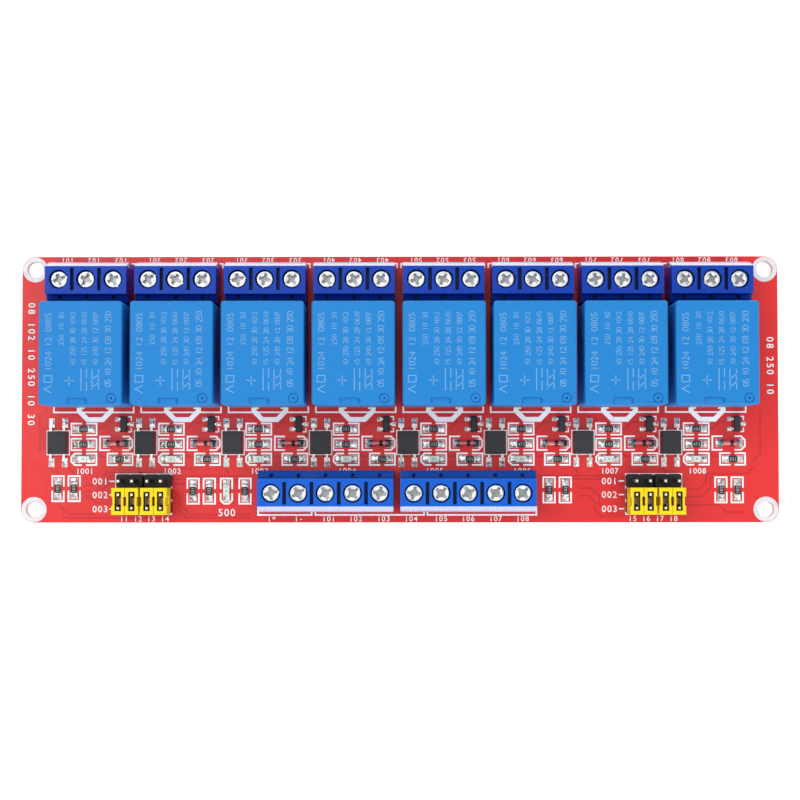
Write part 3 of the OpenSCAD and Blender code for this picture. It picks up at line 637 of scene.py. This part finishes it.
metals = {  # material name, colour, dull colour, patches, their size, dents, gloss, metallic
    "tin": ("tinnedPad", (0.66, 0.65, 0.64), (0.26, 0.25, 0.25), 0.8, 2.2, 0.4, 0.34),
    "ring": ("tinnedRing", (0.8, 0.76, 0.79), (0.62, 0.57, 0.62), 0.6, 0.9, 0.12, 0.5, 0.3),
    "solder": ("solderJoint", (0.66, 0.66, 0.65), (0.1, 0.1, 0.1), 1, 1.7, 0.6, 0.28),
    "lead": ("tinnedLead", (0.62, 0.62, 0.61), (0.22, 0.22, 0.21), 0.8, 2, 0.3, 0.3),
    "screw": ("screwNickel", (0.64, 0.66, 0.67), (0.42, 0.44, 0.45), 0.5, 1.4, 0.15, 0.34),
    "clamp": ("clampSteel", (0.66, 0.65, 0.62), (0.36, 0.34, 0.31), 0.5, 0.9, 0.2, 0.34),
    "pin": ("pinPlating", (0.76, 0.73, 0.64), (0.5, 0.46, 0.36), 0.4, 2, 0.1, 0.3),
    "clip": ("clipBronze", (0.27, 0.17, 0.09), (0.12, 0.07, 0.04), 0.6, 2, 0.2, 0.34),
    "copperWall": ("platedWall", (0.62, 0.42, 0.32), (0.4, 0.25, 0.18), 0.5, 1.5, 0.2, 0.4, 0.6),
    "diodeEnd": ("diodeCap", (0.16, 0.16, 0.17), (0.07, 0.07, 0.07), 0.5, 2, 0.1, 0.4),
}
blocks = {  # material name, colour, a node that has it and how far painted light pales the slope
    "output": ("outputBlockBlue", (0.003, 0.056, 0.47), "output_terminal_1", 0.03),
    "input": ("inputBlockBlue", (0.003, 0.115, 0.64), "input_terminal_1", 0.1),
}
shadeBelowTops = {  # node whose top it is, millimetres under that top and the painted shade below
    "screw": ("output_screws", 0.6, 0.42),
    "pin": ("header_pins", 0.03, 0.3),
}
# painted light: the white ink glows a little, so it stays white in the relays' shade
inkPaintedGlow = 0.18


def makeFinishes():
    made = {key: plasticMaterial(*row) for key, row in plastics.items()}
    made.update({key: metalMaterial(*row) for key, row in metals.items()})
    made.update({key: blockMaterial(*row) for key, row in blocks.items()})
    # painted shade in the screw recesses and on the pin flanks
    for key, (node, depth, factor) in shadeBelowTops.items():
        paintShadeBelow(made[key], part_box(node)[1].z - depth * mm, factor)
    made["mask"] = maskMaterial()
    made["glass"] = diodeGlassMaterial()
    made["resistor"] = resistorMaterial()
    made["lens"] = lampLensMaterial()
    # the ink's glow is painted light, not a lamp
    ink = made["ink"].node_tree.nodes["Principled BSDF"].inputs
    ink["Emission Color"].default_value = (1, 1, 1, 1)
    ink["Emission Strength"].default_value = inkPaintedGlow
    return made


finish = makeFinishes()

nodeFinish = {
    "circuit_board": "mask", "hole_rings": "ring", "solder_pads": "tin", "solder_joints": "solder",
    "relay_cover": "relay", "relay_bases": "base", "relay_pins": "lead",
    "output_terminal": "output", "output_screws": "screw", "output_clamps": "clamp",
    "output_terminal_pins": "lead", "input_terminal": "input", "input_screws": "screw",
    "input_clamps": "clamp", "input_terminal_pins": "lead", "header_block": "header",
    "header_pins": "pin", "jumper_cap": "yellow", "jumper_clips": "clip",
    "optocouplers": "moulding", "optocoupler_leads": "lead", "transistors": "moulding",
    "transistor_leads": "lead", "diode_glasses": "glass", "diode_ends": "diodeEnd",
    "resistors": "resistor", "resistor_ends": "lead", "lamp_lenses": "lens",
    "lamp_bases": "lampBase",
}


def dressNodes():
    for name, obj in nodes.items():
        family = name if name in nodeFinish else name.rsplit("_", 1)[0]
        obj.data.materials.clear()
        obj.data.materials.append(finish[nodeFinish[family]])


dressNodes()
print("CAD nodes dressed")

# edges are rounded on copies of the moulded parts, in millimetres
rounding = {
    "relay": 0.22, "relaySink": 0.025, "block": 0.1, "header": 0.08, "cap": 0.07, "chip": 0.06,
    "outlineBand": 0.02, "topBand": 0.05,
}


def mergedCopy(name):
    # a closed copy of a CAD part, with its flat faces whole again
    obj = bpy.data.objects.new(name + "Copy", nodes[name].data.copy())
    scene.collection.objects.link(obj)
    editAll(obj)
    bpy.ops.mesh.remove_doubles(threshold=0.0000005)
    bpy.ops.mesh.dissolve_limited(angle_limit=math.radians(1))
    leaveEdit()
    return obj


def evenShading(obj, angle):
    smooth(obj, angle)
    addModifier(obj, "WEIGHTED_NORMAL", keep_sharp=True, weight=100)


def roundPart(name, width, look):
    obj = mergedCopy(name)
    bevelEdges(obj, width, angle=40)
    evenShading(obj, 50)
    family, _, number = name.rpartition("_")
    title = f"{family}Rounded{number}" if number.isdigit() else f"{name}Rounded"
    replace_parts(addPiece(obj, title, look), name)


def roundRelay(i):
    # only the outline of the top and the upright corners are rounded
    name = f"relay_cover_{i}"
    low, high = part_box("relay_cover_1")
    half = (high - low) / 2
    touch = rounding["outlineBand"] * mm
    top = high.z - rounding["topBand"] * mm
    centre = relayCentres[i - 1]
    obj = mergedCopy(name)
    for vertex in obj.data.vertices:
        if vertex.co.z > high.z - 0.000001:
            vertex.co.z -= rounding["relaySink"] * mm

    def outside(point):
        return abs(point.x - centre.x) > half.x - touch, abs(point.y - centre.y) > half.y - touch

    def onOutline(a, b):
        onX, onY = (p and q for p, q in zip(outside(a), outside(b)))
        return (onX and onY) or ((onX or onY) and min(a.z, b.z) > top)

    choose(obj, "EDGE", onOutline)
    bpy.ops.mesh.bevel(offset=rounding["relay"] * mm, segments=3, profile=0.5)
    leaveEdit()
    evenShading(obj, 35)
    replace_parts(addPiece(obj, f"relayCoverRounded{i}", "relay"), name)


for i in range(1, 9):
    roundRelay(i)
for i in range(1, 9):
    roundPart(f"output_terminal_{i}", rounding["block"], "output")
    roundPart(f"jumper_cap_{i}", rounding["cap"], "yellow")
for i in range(1, 5):
    roundPart(f"header_block_{i}", rounding["header"], "header")
for i in (1, 2):
    roundPart(f"input_terminal_{i}", rounding["block"], "input")
roundPart("optocouplers", rounding["chip"], "moulding")
roundPart("transistors", rounding["chip"], "moulding")
print("rounded mouldings made")

glyphShape = {"size": 1.4, "bolder": 0.012, "thick": 0.02, "signDrop": 0.3}
glyphs = {}


def makeGlyphs():
    # one flat mesh for each digit and sign, 1 mm high, standing on the origin
    for sign in "0123456789+-":
        bpy.ops.object.select_all(action="DESELECT")
        bpy.ops.object.text_add(location=(0, 0, 0))
        glyph = bpy.context.active_object
        glyph.data.body = sign
        glyph.data.size = glyphShape["size"] * mm
        glyph.data.offset = glyphShape["bolder"] * mm
        glyph.data.resolution_u = 4
        bpy.ops.object.convert(target="MESH")
        addModifier(glyph, "SOLIDIFY", thickness=glyphShape["thick"] * mm, offset=0)
        low = [min(v.co[k] for v in glyph.data.vertices) for k in range(3)]
        high = [max(v.co[k] for v in glyph.data.vertices) for k in range(3)]
        base = low[1]
        if sign in "+-":
            base -= glyphShape["signDrop"] * mm  # signs stand above the line
        glyph.data.transform(Matrix.Translation((-(low[0] + high[0]) / 2, -base, -low[2])))
        glyphs[sign] = glyph


def label(text, x, y, height, turn=0, step=0.84, z=topZ):
    # numbers in a row around (x, y) in millimetres; a step is a share of the height
    along = Vector((math.cos(turn), math.sin(turn), 0))
    up = Vector((-math.sin(turn), math.cos(turn), 0))
    made = []
    for i, sign in enumerate(text):
        if sign == " ":
            continue
        shift = along * (i - (len(text) - 1) / 2) * step * height
        place = Vector((x, y, 0)) + shift - up * height / 2
        at = (place.x * mm, place.y * mm, z)
        made.append(copyTo(glyphs[sign], at, turn, (height, height, 1)))
    return made


def stroke(points, width, z=topZ, thick=0.02):
    # a band along the points, given in millimetres, whose bars meet in mitres
    vectors = [Vector(p) for p in points]
    ways = [(b - a).normalized() for a, b in zip(vectors, vectors[1:])]
    closed = (vectors[0] - vectors[-1]).length < 0.001
    bends = [math.tan(-a.angle_signed(b) / 2) for a, b in zip(ways, ways[1:])]
    ends = math.tan(-ways[-1].angle_signed(ways[0]) / 2) if closed else 0
    bends = [ends] + bends + [ends]
    made = []
    for i, way in enumerate(ways):
        start, end = vectors[i], vectors[i + 1]
        half = (end - start).length / 2
        bar = copyTo(unitBar, (0, 0, 0), 0, (2 * half, width, thick * mm))
        for vertex in bar.data.vertices:
            bend = -bends[i + 1] if vertex.co.x > 0 else bends[i]
            vertex.co.x = (vertex.co.x + bend * vertex.co.y) * mm
            vertex.co.y *= mm
        turn = Matrix.Rotation(math.atan2(way.y, way.x), 4, "Z")
        middle = (start + end) / 2 * mm
        bar.data.transform(Matrix.Translation((middle.x, middle.y, z)) @ turn)
        made.append(bar)
    return made


def moved(points, x, y, turn=0):
    c, s = math.cos(turn), math.sin(turn)
    return [(x + p[0] * c - p[1] * s, y + p[0] * s + p[1] * c) for p in points]


def mirrored(points):
    return [(-x, y) for x, y in points]


def outline(w, h):
    # a closed rectangle of half width w and half height h
    return [(-w, -h), (w, -h), (w, h), (-w, h), (-w, -h)]


def bracket(left, right, end, far):
    # three sides of a rectangle
    return [(left, end), (left, far), (right, far), (right, end)]


unitBar = newBox((-0.5, -0.5, 0), (0.5, 0.5, 1), 1)
makeGlyphs()
print("digits made")

frameShape = {  # printed frames: half size, gap in the middle, cut of the left and right corners
    "chip": {"half": (2.4, 1.1), "gap": 0.4, "cuts": (0, 0), "shift": 0},
    "lamp": {"half": (2.4, 1.1), "gap": 0.4, "cuts": (0.65, 0), "shift": 0},
    "diode": {"half": (3.1, 1.3), "gap": 1.15, "cuts": (0, 0.7), "shift": -0.09},
}
boardPrint = {  # millimetres
    "frameLine": 0.3,
    "optoHalf": (2.15, 2.3), "optoLine": 0.18,
    "transistor": [(0.7, 1.45), (1.32, 1.45), (1.32, 0.7)], "transistorLine": 0.22,
    "relayBracket": (-7.58, 7.72, -3.3, -4.41), "relayLine": 0.28,
    "coilBar": [(-3.07, -3.3), (-3.07, -4.15), (-1.43, -5.79), (1.43, -5.79), (3.07, -4.15),
                (3.07, -3.3)],
    "coilShift": 0.33, "coilLine": 0.92, "coilThick": 0.03,
    "tick": (2.6, 2.1, -3.62), "tickLine": 0.3,
    "inputBrackets": ((-27.1, -16.85), (-16.15, 4.65), (5.3, 26.12)),
    "inputEnd": -22.4, "inputFar": -24.05, "inputLine": 0.3,
    "headers": (-49.02, 48.56), "headerY": -20.08, "headerHalf": (5.35, 3.85), "headerLine": 0.2,
    "outputBracket": (-8.0, 8.0, 23.3, 24.15), "outputLine": 0.25,
}
boardNumbers = {  # millimetres; heights come last
    "channel": (-1.6, -15.65, 1.1),
    "output": (-5.1, 0, 5.2), "outputY": 24.78, "outputHigh": 1.0,
    "edge": {
        "1+": -24.51, "1-": -19.32, "101": -13.58, "102": -8.42, "103": -3.11,
        "104": 2.16, "105": 7.89, "106": 13.08, "107": 18.35, "108": 23.5,
        "11": -52.75, "12": -50.11, "13": -47.57, "14": -44.94,
        "15": 44.5, "16": 47.1, "17": 49.7, "18": 52.3,
    },
    "edgeY": -24.75, "edgeHigh": 1.05,
    "row": (-17.6, -20.2, -22.9), "rowX": (-57.35, 40.1), "rowHigh": 1.25,
    "dashX": (-55.6, 41.9), "dashLong": 1.0, "dashLine": 0.22,
    "single": ("500", -33.12, -23.57, 1.4),
    "side": (("08 102 10 250 10 30", -70.65, 4.9), ("08 250 10", 71.0, 4.5)),
    "sideHigh": 1.35, "sideStep": 0.93,
}


def partFrame(kind):
    # the left and right halves of the printed frame around one small part
    shape = frameShape[kind]
    w, h = shape["half"]
    gap = shape["gap"]
    halves = []
    for cut in shape["cuts"]:
        corners = [(-w, h), (-w, -h)]
        if cut:
            corners = [(cut - w, h), (-w, h - cut), (-w, cut - h), (cut - w, -h)]
        halves.append([(-gap, h), *corners, (-gap, -h)])
    return [halves[0], mirrored(halves[1])]


def smallPartPrint():
    made = []
    for kind, parts in (("chip", chips), ("lamp", lamps), ("diode", diodes)):
        for centre, size in parts:
            x = centre.x / mm + frameShape[kind]["shift"]
            for points in partFrame(kind):
                placed = moved(points, x, centre.y / mm, turnOf(size))
                made += stroke(placed, boardPrint["frameLine"])
    box = outline(*boardPrint["optoHalf"])
    for centre, _ in optos:
        made += stroke(moved(box, centre.x / mm, centre.y / mm), boardPrint["optoLine"])
    for centre, _ in transistors:
        for sign in (-1, 1):
            corner = [(x, y * sign) for x, y in boardPrint["transistor"]]
            placed = moved(corner, centre.x / mm, centre.y / mm)
            made += stroke(placed, boardPrint["transistorLine"])
    return made


def coilPrint():
    # a bracket under each relay, and the bent bar between its contacts and its coil
    made = []
    left, right, end, far = boardPrint["relayBracket"]
    outer, inner, tickY = boardPrint["tick"]
    for centre in relayCentres:
        x = centre.x / mm
        made += stroke(bracket(x + left, x + right, end, far), boardPrint["relayLine"])
        middle = x + boardPrint["coilShift"]
        bar = moved(boardPrint["coilBar"], middle, 0)
        made += stroke(bar, boardPrint["coilLine"], thick=boardPrint["coilThick"])
        for sign in (-1, 1):
            tick = [(middle + sign * outer, tickY), (middle + sign * inner, tickY)]
            made += stroke(tick, boardPrint["tickLine"])
    return made


def connectorPrint():
    made = []
    end, far = boardPrint["inputEnd"], boardPrint["inputFar"]
    for left, right in boardPrint["inputBrackets"]:
        made += stroke(bracket(left, right, end, far), boardPrint["inputLine"])
    box = outline(*boardPrint["headerHalf"])
    for x in boardPrint["headers"]:
        made += stroke(moved(box, x, boardPrint["headerY"]), boardPrint["headerLine"])
    left, right, end, far = boardPrint["outputBracket"]
    for centre in outputCentres:
        x = centre.x / mm
        made += stroke(bracket(x + left, x + right, end, far), boardPrint["outputLine"])
    return made


def labelPrint():
    made = []
    put = boardNumbers
    shift, y, high = put["channel"]
    for i, centre in enumerate(relayCentres):
        x = centre.x / mm
        made += label(f"100{i + 1}", x + shift, y, high, step=0.8)
        for k, offset in enumerate(put["output"]):
            text = f"{i + 1}0{k + 1}"
            made += label(text, x + offset, put["outputY"], put["outputHigh"], math.pi)
    for text, x in put["edge"].items():
        made += label(text, x, put["edgeY"], put["edgeHigh"])
    for k, y in enumerate(put["row"]):
        for x in put["rowX"]:
            made += label(f"00{k + 1}", x, y, put["rowHigh"])
        for x in put["dashX"]:
            made += stroke([(x, y), (x + put["dashLong"], y)], put["dashLine"])
    made += label(*put["single"])
    for text, x, y in put["side"]:
        made += label(text, x, y, put["sideHigh"], -math.pi / 2, put["sideStep"])
    return made


inkParts = smallPartPrint() + coilPrint() + connectorPrint() + labelPrint()
addPiece(joined(inkParts), "boardPrint", "ink")
print("board print made")

trackShape = {"line": 0.34, "thick": 0.008}

# tracks under the solder mask, as runs of points in millimetres
tracks = [
    [(-66, -15.4), (-64.4, -17), (-64.2, -17)],
    [(-63.6, -14.9), (-62.3, -16.2), (-62.3, -16.6)],
    [(-65.4, -22.1), (-63.4, -23.9), (-58.3, -23.9)],
    [(-60.4, -20.4), (-58.1, -20.4), (-55, -17.3), (-54.4, -17.3)],
    [(-43.3, -17.2), (-30.5, -17.2)],
    [(-60.4, -19.6), (-58.4, -19.6), (-55.4, -16.6), (-30.2, -16.6)],
    [(-60.2, -18.4), (-58.6, -18.4), (-56.2, -16), (-45.4, -16), (-44.6, -15.2),
     (-38.2, -15.2)],
    [(-60.2, -21), (-58.9, -21), (-58.2, -21.7), (-56.6, -21.7)],
    [(-43.3, -19.4), (-41.9, -20.8), (-41.9, -22.2), (-40.1, -24), (-28.6, -24)],
    [(-43.3, -20.4), (-42.4, -21.3), (-42.4, -22.9), (-40.7, -24.6), (-28.6, -24.6)],
    [(-43.3, -18.2), (-41.6, -18.2), (-41.2, -17.8), (-28.4, -17.8)],
    [(-37.2, -14.8), (-36.6, -14.2), (-34.8, -14.2), (-34.8, -12.4)],
    [(26.6, -16.6), (41.2, -16.6), (43, -18.4)],
    [(26.6, -17.2), (40.9, -17.2), (42.4, -18.7)],
    [(34.4, -19), (36.6, -19), (38.2, -20.6), (38.2, -22.4), (39.6, -23.8), (42.4, -23.8)],
    [(34.4, -20.4), (36, -20.4), (37.4, -21.8), (37.4, -23.2), (38.6, -24.4), (42.4, -24.4)],
    [(54.3, -19.2), (57.2, -19.2), (58.6, -17.8), (58.6, -16.2), (66.4, -16.2), (67.6, -15)],
    [(54.3, -20.6), (57.8, -20.6), (59.4, -19), (59.4, -16.9), (63, -16.9)],
    [(54.3, -22.2), (61, -22.2), (62.4, -23.6), (66.2, -23.6)],
    [(-64.6, -24.6), (-44, -24.6), (-42.9, -23.5)],
    [(67.4, -14), (69, -12.4), (69, -4)],
    [(-69, -12), (-69, -4.6)],
]
channelTracks = [  # the same in each channel, from the middle of its relay
    [(-4, -9.4), (-4.6, -8.8), (-4.6, -6.3), (-4, -5.7)],
    [(0.5, -7.65), (1.3, -7.65), (2.6, -6.35), (3.9, -6.35)],
    [(0.5, -10.55), (1.6, -10.55)],
    [(6, -4.9), (6, -5.6)],
    [(-8, -14.6), (-8, -15.5), (-7.5, -16)],
    [(3.2, -12.9), (1.4, -12.9), (0.9, -12.4), (-3.4, -12)],
    [(7.3, -8.2), (7.3, -9)],
]


def makeTracks():
    made = []
    runs = list(tracks)
    for centre in relayCentres:
        runs += [moved(points, centre.x / mm, 0) for points in channelTracks]
    for points in runs:
        made += stroke(points, trackShape["line"], thick=trackShape["thick"])
    return made


addPiece(joined(makeTracks()), "boardTracks", "trace")
print("tracks made")

solderShape = {  # length, width and heights at the part and at the tip, in millimetres
    "chip": (1.07, 1.28, 0.42, 0.09), "chipAt": 1.0,
    "opto": (1.1, 0.95, 0.3, 0.1), "optoAt": (1.27, 3.5),
    "diode": (0.8, 1.5, 0.7, 0.12), "diodeAt": 1.75,
    "transistor": (0.45, 0.62, 0.24, 0.08), "transistorAt": (1.28, 0.95),
    "padThick": 0.05, "hollow": 1.7, "crown": 0.35, "taper": 0.18, "edge": 0.06,
}


def makeFillet(length, width, high, low):
    # solder that climbs towards -X, with a hollow slope and soft edges
    base = topZ + solderShape["padThick"] * mm
    half = width / 2 * mm
    fillet = newBox((0, -half, base), (length * mm, half, base + high * mm), 1)
    editAll(fillet)
    bpy.ops.mesh.subdivide(number_cuts=3)
    leaveEdit()
    for vertex in fillet.data.vertices:
        part = vertex.co.x / (length * mm)
        side = abs(vertex.co.y) / half
        height = (vertex.co.z - base) / (high * mm)
        level = low + (high - low) * (1 - part) ** solderShape["hollow"]
        level *= 1 - solderShape["crown"] * side * side
        vertex.co.z = base + height * level * mm
        vertex.co.y *= 1 - solderShape["taper"] * part * part
    bevelEdges(fillet, solderShape["edge"], angle=50)
    return smooth(fillet, 60)


def makeSolder():
    made = []
    kinds = {k: makeFillet(*solderShape[k]) for k in ("chip", "opto", "diode", "transistor")}
    for centre, size in chips + lamps:
        for turn in (turnOf(size), turnOf(size) + math.pi):
            along = Vector((math.cos(turn), math.sin(turn), 0)) * solderShape["chipAt"] * mm
            made.append(copyTo(kinds["chip"], Vector((centre.x, centre.y, 0)) + along, turn))
    dx, dy = (v * mm for v in solderShape["optoAt"])
    for centre, _ in optos:
        for sx in (-1, 1):
            for sy in (-1, 1):
                place = (centre.x + sx * dx, centre.y + sy * dy, 0)
                made.append(copyTo(kinds["opto"], place, sy * math.pi / 2))
    for centre, _ in diodes:
        for turn in (0, math.pi):
            place = (centre.x + math.cos(turn) * solderShape["diodeAt"] * mm, centre.y, 0)
            made.append(copyTo(kinds["diode"], place, turn))
    dx, dy = (v * mm for v in solderShape["transistorAt"])
    for centre, _ in transistors:
        made.append(copyTo(kinds["transistor"], (centre.x + dx, centre.y, 0)))
        for sy in (-1, 1):
            place = (centre.x - dx, centre.y + sy * dy, 0)
            made.append(copyTo(kinds["transistor"], place, math.pi))
    discard(*kinds.values())
    return made


addPiece(joined(makeSolder()), "padSolder", "solder")
print("solder made")

diodeShape = {
    "radius": 0.56, "rings": 12, "waist": 0.84, "power": 6,
    "bandRadius": 0.53, "bandWide": 0.66, "bandAt": 0.39,
}


def makeDiodeBands():
    radius, wide = diodeShape["bandRadius"], diodeShape["bandWide"]
    band = smooth(newCylinder(radius, wide, 32, tilt=math.pi / 2), 40)
    shift = Vector((diodeShape["bandAt"] * mm, 0, 0))
    return scatter(band, [(centre + shift, 0) for centre, _ in diodes])


def makeDiodeRods():
    # the glass between the caps, drawn in at the waist
    length = diodes[0][1].x
    rod = newCylinder(diodeShape["radius"], length / mm, 32, tilt=math.pi / 2)
    rings, waist = diodeShape["rings"], diodeShape["waist"]
    editAll(rod)
    for i in range(1, rings):
        bpy.ops.mesh.select_all(action="SELECT")
        bpy.ops.mesh.bisect(plane_co=(length * (i / rings - 0.5), 0, 0), plane_no=(1, 0, 0))
    leaveEdit()
    for vertex in rod.data.vertices:
        share = waist + (1 - waist) * abs(2 * vertex.co.x / length) ** diodeShape["power"]
        vertex.co.y *= share
        vertex.co.z *= share
    smooth(rod, 40)
    return scatter(rod, [(centre, 0) for centre, _ in diodes])


holeWall = {"radius": 1.56, "thick": 0.05, "deep": 1.6, "places": (70, 23)}


def makeHoleWalls():
    # plated wall of each mounting hole, seen under the ring
    wall = newCylinder(holeWall["radius"], holeWall["deep"], 48, ends="NOTHING")
    addModifier(wall, "SOLIDIFY", thickness=holeWall["thick"] * mm, offset=-1)
    smooth(wall, 40)
    x, y = (v * mm for v in holeWall["places"])
    corners = [(sx * x, sy * y, topZ / 2) for sx in (-1, 1) for sy in (-1, 1)]
    return scatter(wall, [(corner, 0) for corner in corners])


lampTrim = {
    "end": ((0.66, -0.635, 0), (1.02, 0.635, 0.33)), "endRound": 0.04,
    "dieHigh": 0.75, "arm": (0.62, 0.12, 0.008), "die": (0.26, 0.26, 0.01), "armTurn": 0.5,
}


def makeLampTrim():
    # the metal ends of each lamp, and the crossed arms and die under its lens
    ends, dies = [], []
    cap = newBox(*lampTrim["end"])
    bevelEdges(cap, lampTrim["endRound"])
    arm, die = ([v * mm for v in lampTrim[key]] for key in ("arm", "die"))
    for centre, size in lamps:
        turn = turnOf(size)
        low = centre.z - size.z / 2
        for side in (0, math.pi):
            ends.append(copyTo(cap, (centre.x, centre.y, low), turn + side))
        place = (centre.x, centre.y, low + lampTrim["dieHigh"] * mm)
        for cross in (0, math.pi / 2):
            dies.append(copyTo(unitBar, place, turn + cross + lampTrim["armTurn"], arm))
        dies.append(copyTo(unitBar, place, turn, die))
    discard(cap)
    return ends, dies


glazeShape = {"half": (0.84, 0.58), "over": 0.02, "edge": 0.02}
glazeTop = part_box("resistor_ends")[1].z + glazeShape["over"] * mm


def makeGlaze():
    # black glaze over the middle of each chip, lapping onto its metal ends
    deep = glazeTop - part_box("resistors")[1].z
    x, y = (v * mm for v in glazeShape["half"])
    plate = newBox((-x, -y, 0), (x, y, deep), 1)
    bevelEdges(plate, glazeShape["edge"], 1)
    return scatter(plate, [(c + Vector((0, 0, s.z / 2)), turnOf(s)) for c, s in chips])


chipPrint = {"values": ["102", "103", "331", "102", "472", "103", "102", "331"], "high": 0.62}


def makeChipNumbers():
    made = []
    values = chipPrint["values"]
    for i, (centre, size) in enumerate(chips):
        text = values[i % len(values)]
        x, y = centre.x / mm, centre.y / mm
        made += label(text, x, y, chipPrint["high"], turnOf(size), 0.76, glazeTop)
    return made


pinShape = {"chamfer": 0.14, "half": 0.4999}  # just inside the CAD pins


def makePins():
    # square pins with chamfered ends
    made = []
    kinds = {}
    for centre, size in solidsOf("header_pins"):
        key = round(size.z / mm, 2)
        if key not in kinds:
            half = size * pinShape["half"]
            pin = newBox(-half, half, 1)
            for side in (-1, 1):
                choose(pin, "FACE", lambda c, n: n.z * side > 0.9)
                bpy.ops.mesh.bevel(offset=pinShape["chamfer"] * mm, segments=1)
                leaveEdit()
            kinds[key] = pin
        made.append(copyTo(kinds[key], centre))
    discard(*kinds.values())
    return made


addPiece(makeDiodeBands(), "diodeBands", "band")
rods = addPiece(makeDiodeRods(), "diodeRods", "glass")
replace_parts(rods, "diode_glasses")
addPiece(makeHoleWalls(), "holeWalls", "copperWall")
lampEnds, lampDies = makeLampTrim()
addPiece(joined(lampEnds), "lampEnds", "lead")
addPiece(joined(lampDies), "lampDies", "die")
addPiece(makeGlaze(), "chipGlaze", "glaze")
pins = addPiece(joined(makePins()), "headerPins", "pin")
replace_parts(pins, "header_pins")
addPiece(joined(makeChipNumbers()), "chipNumbers", "chipInk")
print("small part details made")

screwHead = {
    "radius": 1.57, "round": 0.16, "slot": 0.5, "slotDeep": 0.45, "crossDeep": 1.0, "low": 1.7,
    "edge": 0.05,
}
crosses = {  # arm length, arm width and middle radius of the cross recess
    "input": (2.5, 0.6, 0.78),
    "output": (2.2, 0.6, 0.62),
}
screwTurns = {  # degrees, from left to right
    "input": [11, 30, 120, 40, 78, 169, 48, 117, 55, 46],
    "output": [20, 62, 118, 35, 150, 48, 12, 75, 40, 128, 30, 55],
}


def cutAway(obj, cutter):
    addModifier(obj, "BOOLEAN", object=cutter, operation="DIFFERENCE", solver="EXACT")
    discard(cutter)


def makeScrewHead(kind):
    # a round-edged head with a slot across it and a deeper cross, its top at z = 0
    size = screwHead
    armLong, armWide, middle = crosses[kind]
    head = newCylinder(size["radius"], size["low"], 48, -size["low"] / 2)
    choose(head, "EDGE", lambda a, b: abs(a.z) < 1e-6 and abs(b.z) < 1e-6)
    bpy.ops.mesh.bevel(offset=size["round"] * mm, segments=3, profile=0.5)
    leaveEdit()
    half = size["slot"] / 2
    cutAway(head, newBox((-2, -half, -size["slotDeep"]), (2, half, 1)))
    x, y, z = armLong / 2, armWide / 2, size["crossDeep"]
    for turn in (0, math.pi / 2):
        arm = newBox((-x, -y, -z), (x, y, 1))
        arm.rotation_euler.z = turn
        cutAway(head, applyPlace(arm))
    cutAway(head, newCylinder(middle, 2, 16, 0.2))
    bevelEdges(head, size["edge"], angle=40)
    return smooth(head, 35)


def makeScrews(kind):
    turns = screwTurns[kind]
    solids = sorted(solidsOf(f"{kind}_screws"), key=lambda solid: solid[0].x)
    places = []
    for i, (centre, size) in enumerate(solids):
        place = (centre.x, centre.y, centre.z + size.z / 2)
        places.append((place, math.radians(turns[i % len(turns)])))
    return scatter(makeScrewHead(kind), places)


for kind in ("input", "output"):
    screws = makeScrews(kind)
    addPiece(screws, f"{kind}ScrewHeads", "screw")
    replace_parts(screws, f"{kind}_screws")
print("screw heads made")

relayPrintShape = {"squeeze": 0.86, "line": 0.2}
# where the painted shadow line round each relay's recess lies, in millimetres
recessShadowShape = {"x": (-2.38, 1), "inset": 0.25, "deep": 1, "line": 0.1, "thick": 0.012}
relayNumbers = [  # text, its middle across and along the relay, height and step in millimetres
    ("1024 12 0805", -5.9, 2.05, 1.5, 0.6), ("250 10 30", -3.5, 4.45, 1.2, 0.57),
    ("10 250 28 30 1012", -1.4, 2.6, 1.2, 0.485), ("15 125 24 28 0610", 0.7, 2.6, 1.2, 0.485),
    ("10 240 30 12 0807", 2.8, 2.6, 1.2, 0.485), ("05 10 24 12 08 30 250", 5.1, 0.7, 1.45, 0.455),
]
relayMarks = [
    [(-5.2, -4.2), (-6.6, -4.2), (-6.6, -5.4), (-5.2, -5.4), (-5.2, -4.2)],
    [(-5.2, -6), (-6.6, -6.7), (-5.2, -7.4)],
    [(-2, -4.2), (-2, -6)], [(-2.9, -5.1), (-1.1, -5.1)],
    [(2.2, -3), (2.2, -6.8)], [(3.4, -3), (3.4, -6.8)],
    [(2.2, -4.9), (3.4, -4)], [(2.2, -6.4), (3.4, -5.4)],
    [(0.2, -2.9), (0.2, -7)], [(1.2, -2.9), (1.2, -4.6)], [(1.2, -5.3), (1.2, -7)],
]
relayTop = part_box("relay_cover_1")[1].z - rounding["relaySink"] * mm


def onEachRelay(parts):
    return scatter(joined(parts), [((c.x, c.y, 0), 0) for c in relayCentres])


def makeRelayPrint():
    parts = []
    squeeze = relayPrintShape["squeeze"]
    for text, x, y, height, step in relayNumbers:
        parts += label(text, x, y, height * squeeze, math.pi / 2, step / squeeze, relayTop)
    for points in relayMarks:
        parts += stroke(points, relayPrintShape["line"], relayTop)
    return onEachRelay(parts)


def makeRelayRecessShadows():
    # painted shadow line round the recess at the front edge of each relay top
    low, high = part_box("relay_cover_1")
    left, right = recessShadowShape["x"]
    front = (low.y - high.y) / 2 / mm + recessShadowShape["inset"]
    recessShadow = bracket(left, right, front, front + recessShadowShape["deep"])
    return onEachRelay(stroke(recessShadow, recessShadowShape["line"], relayTop, recessShadowShape["thick"]))


# painted shadow lines on the relay tops
addPiece(makeRelayRecessShadows(), "relayRecessShadows", "recessShadow")
addPiece(makeRelayPrint(), "relayPrint", "relayInk")
print("relay print made")
discard(unitBar, *glyphs.values())
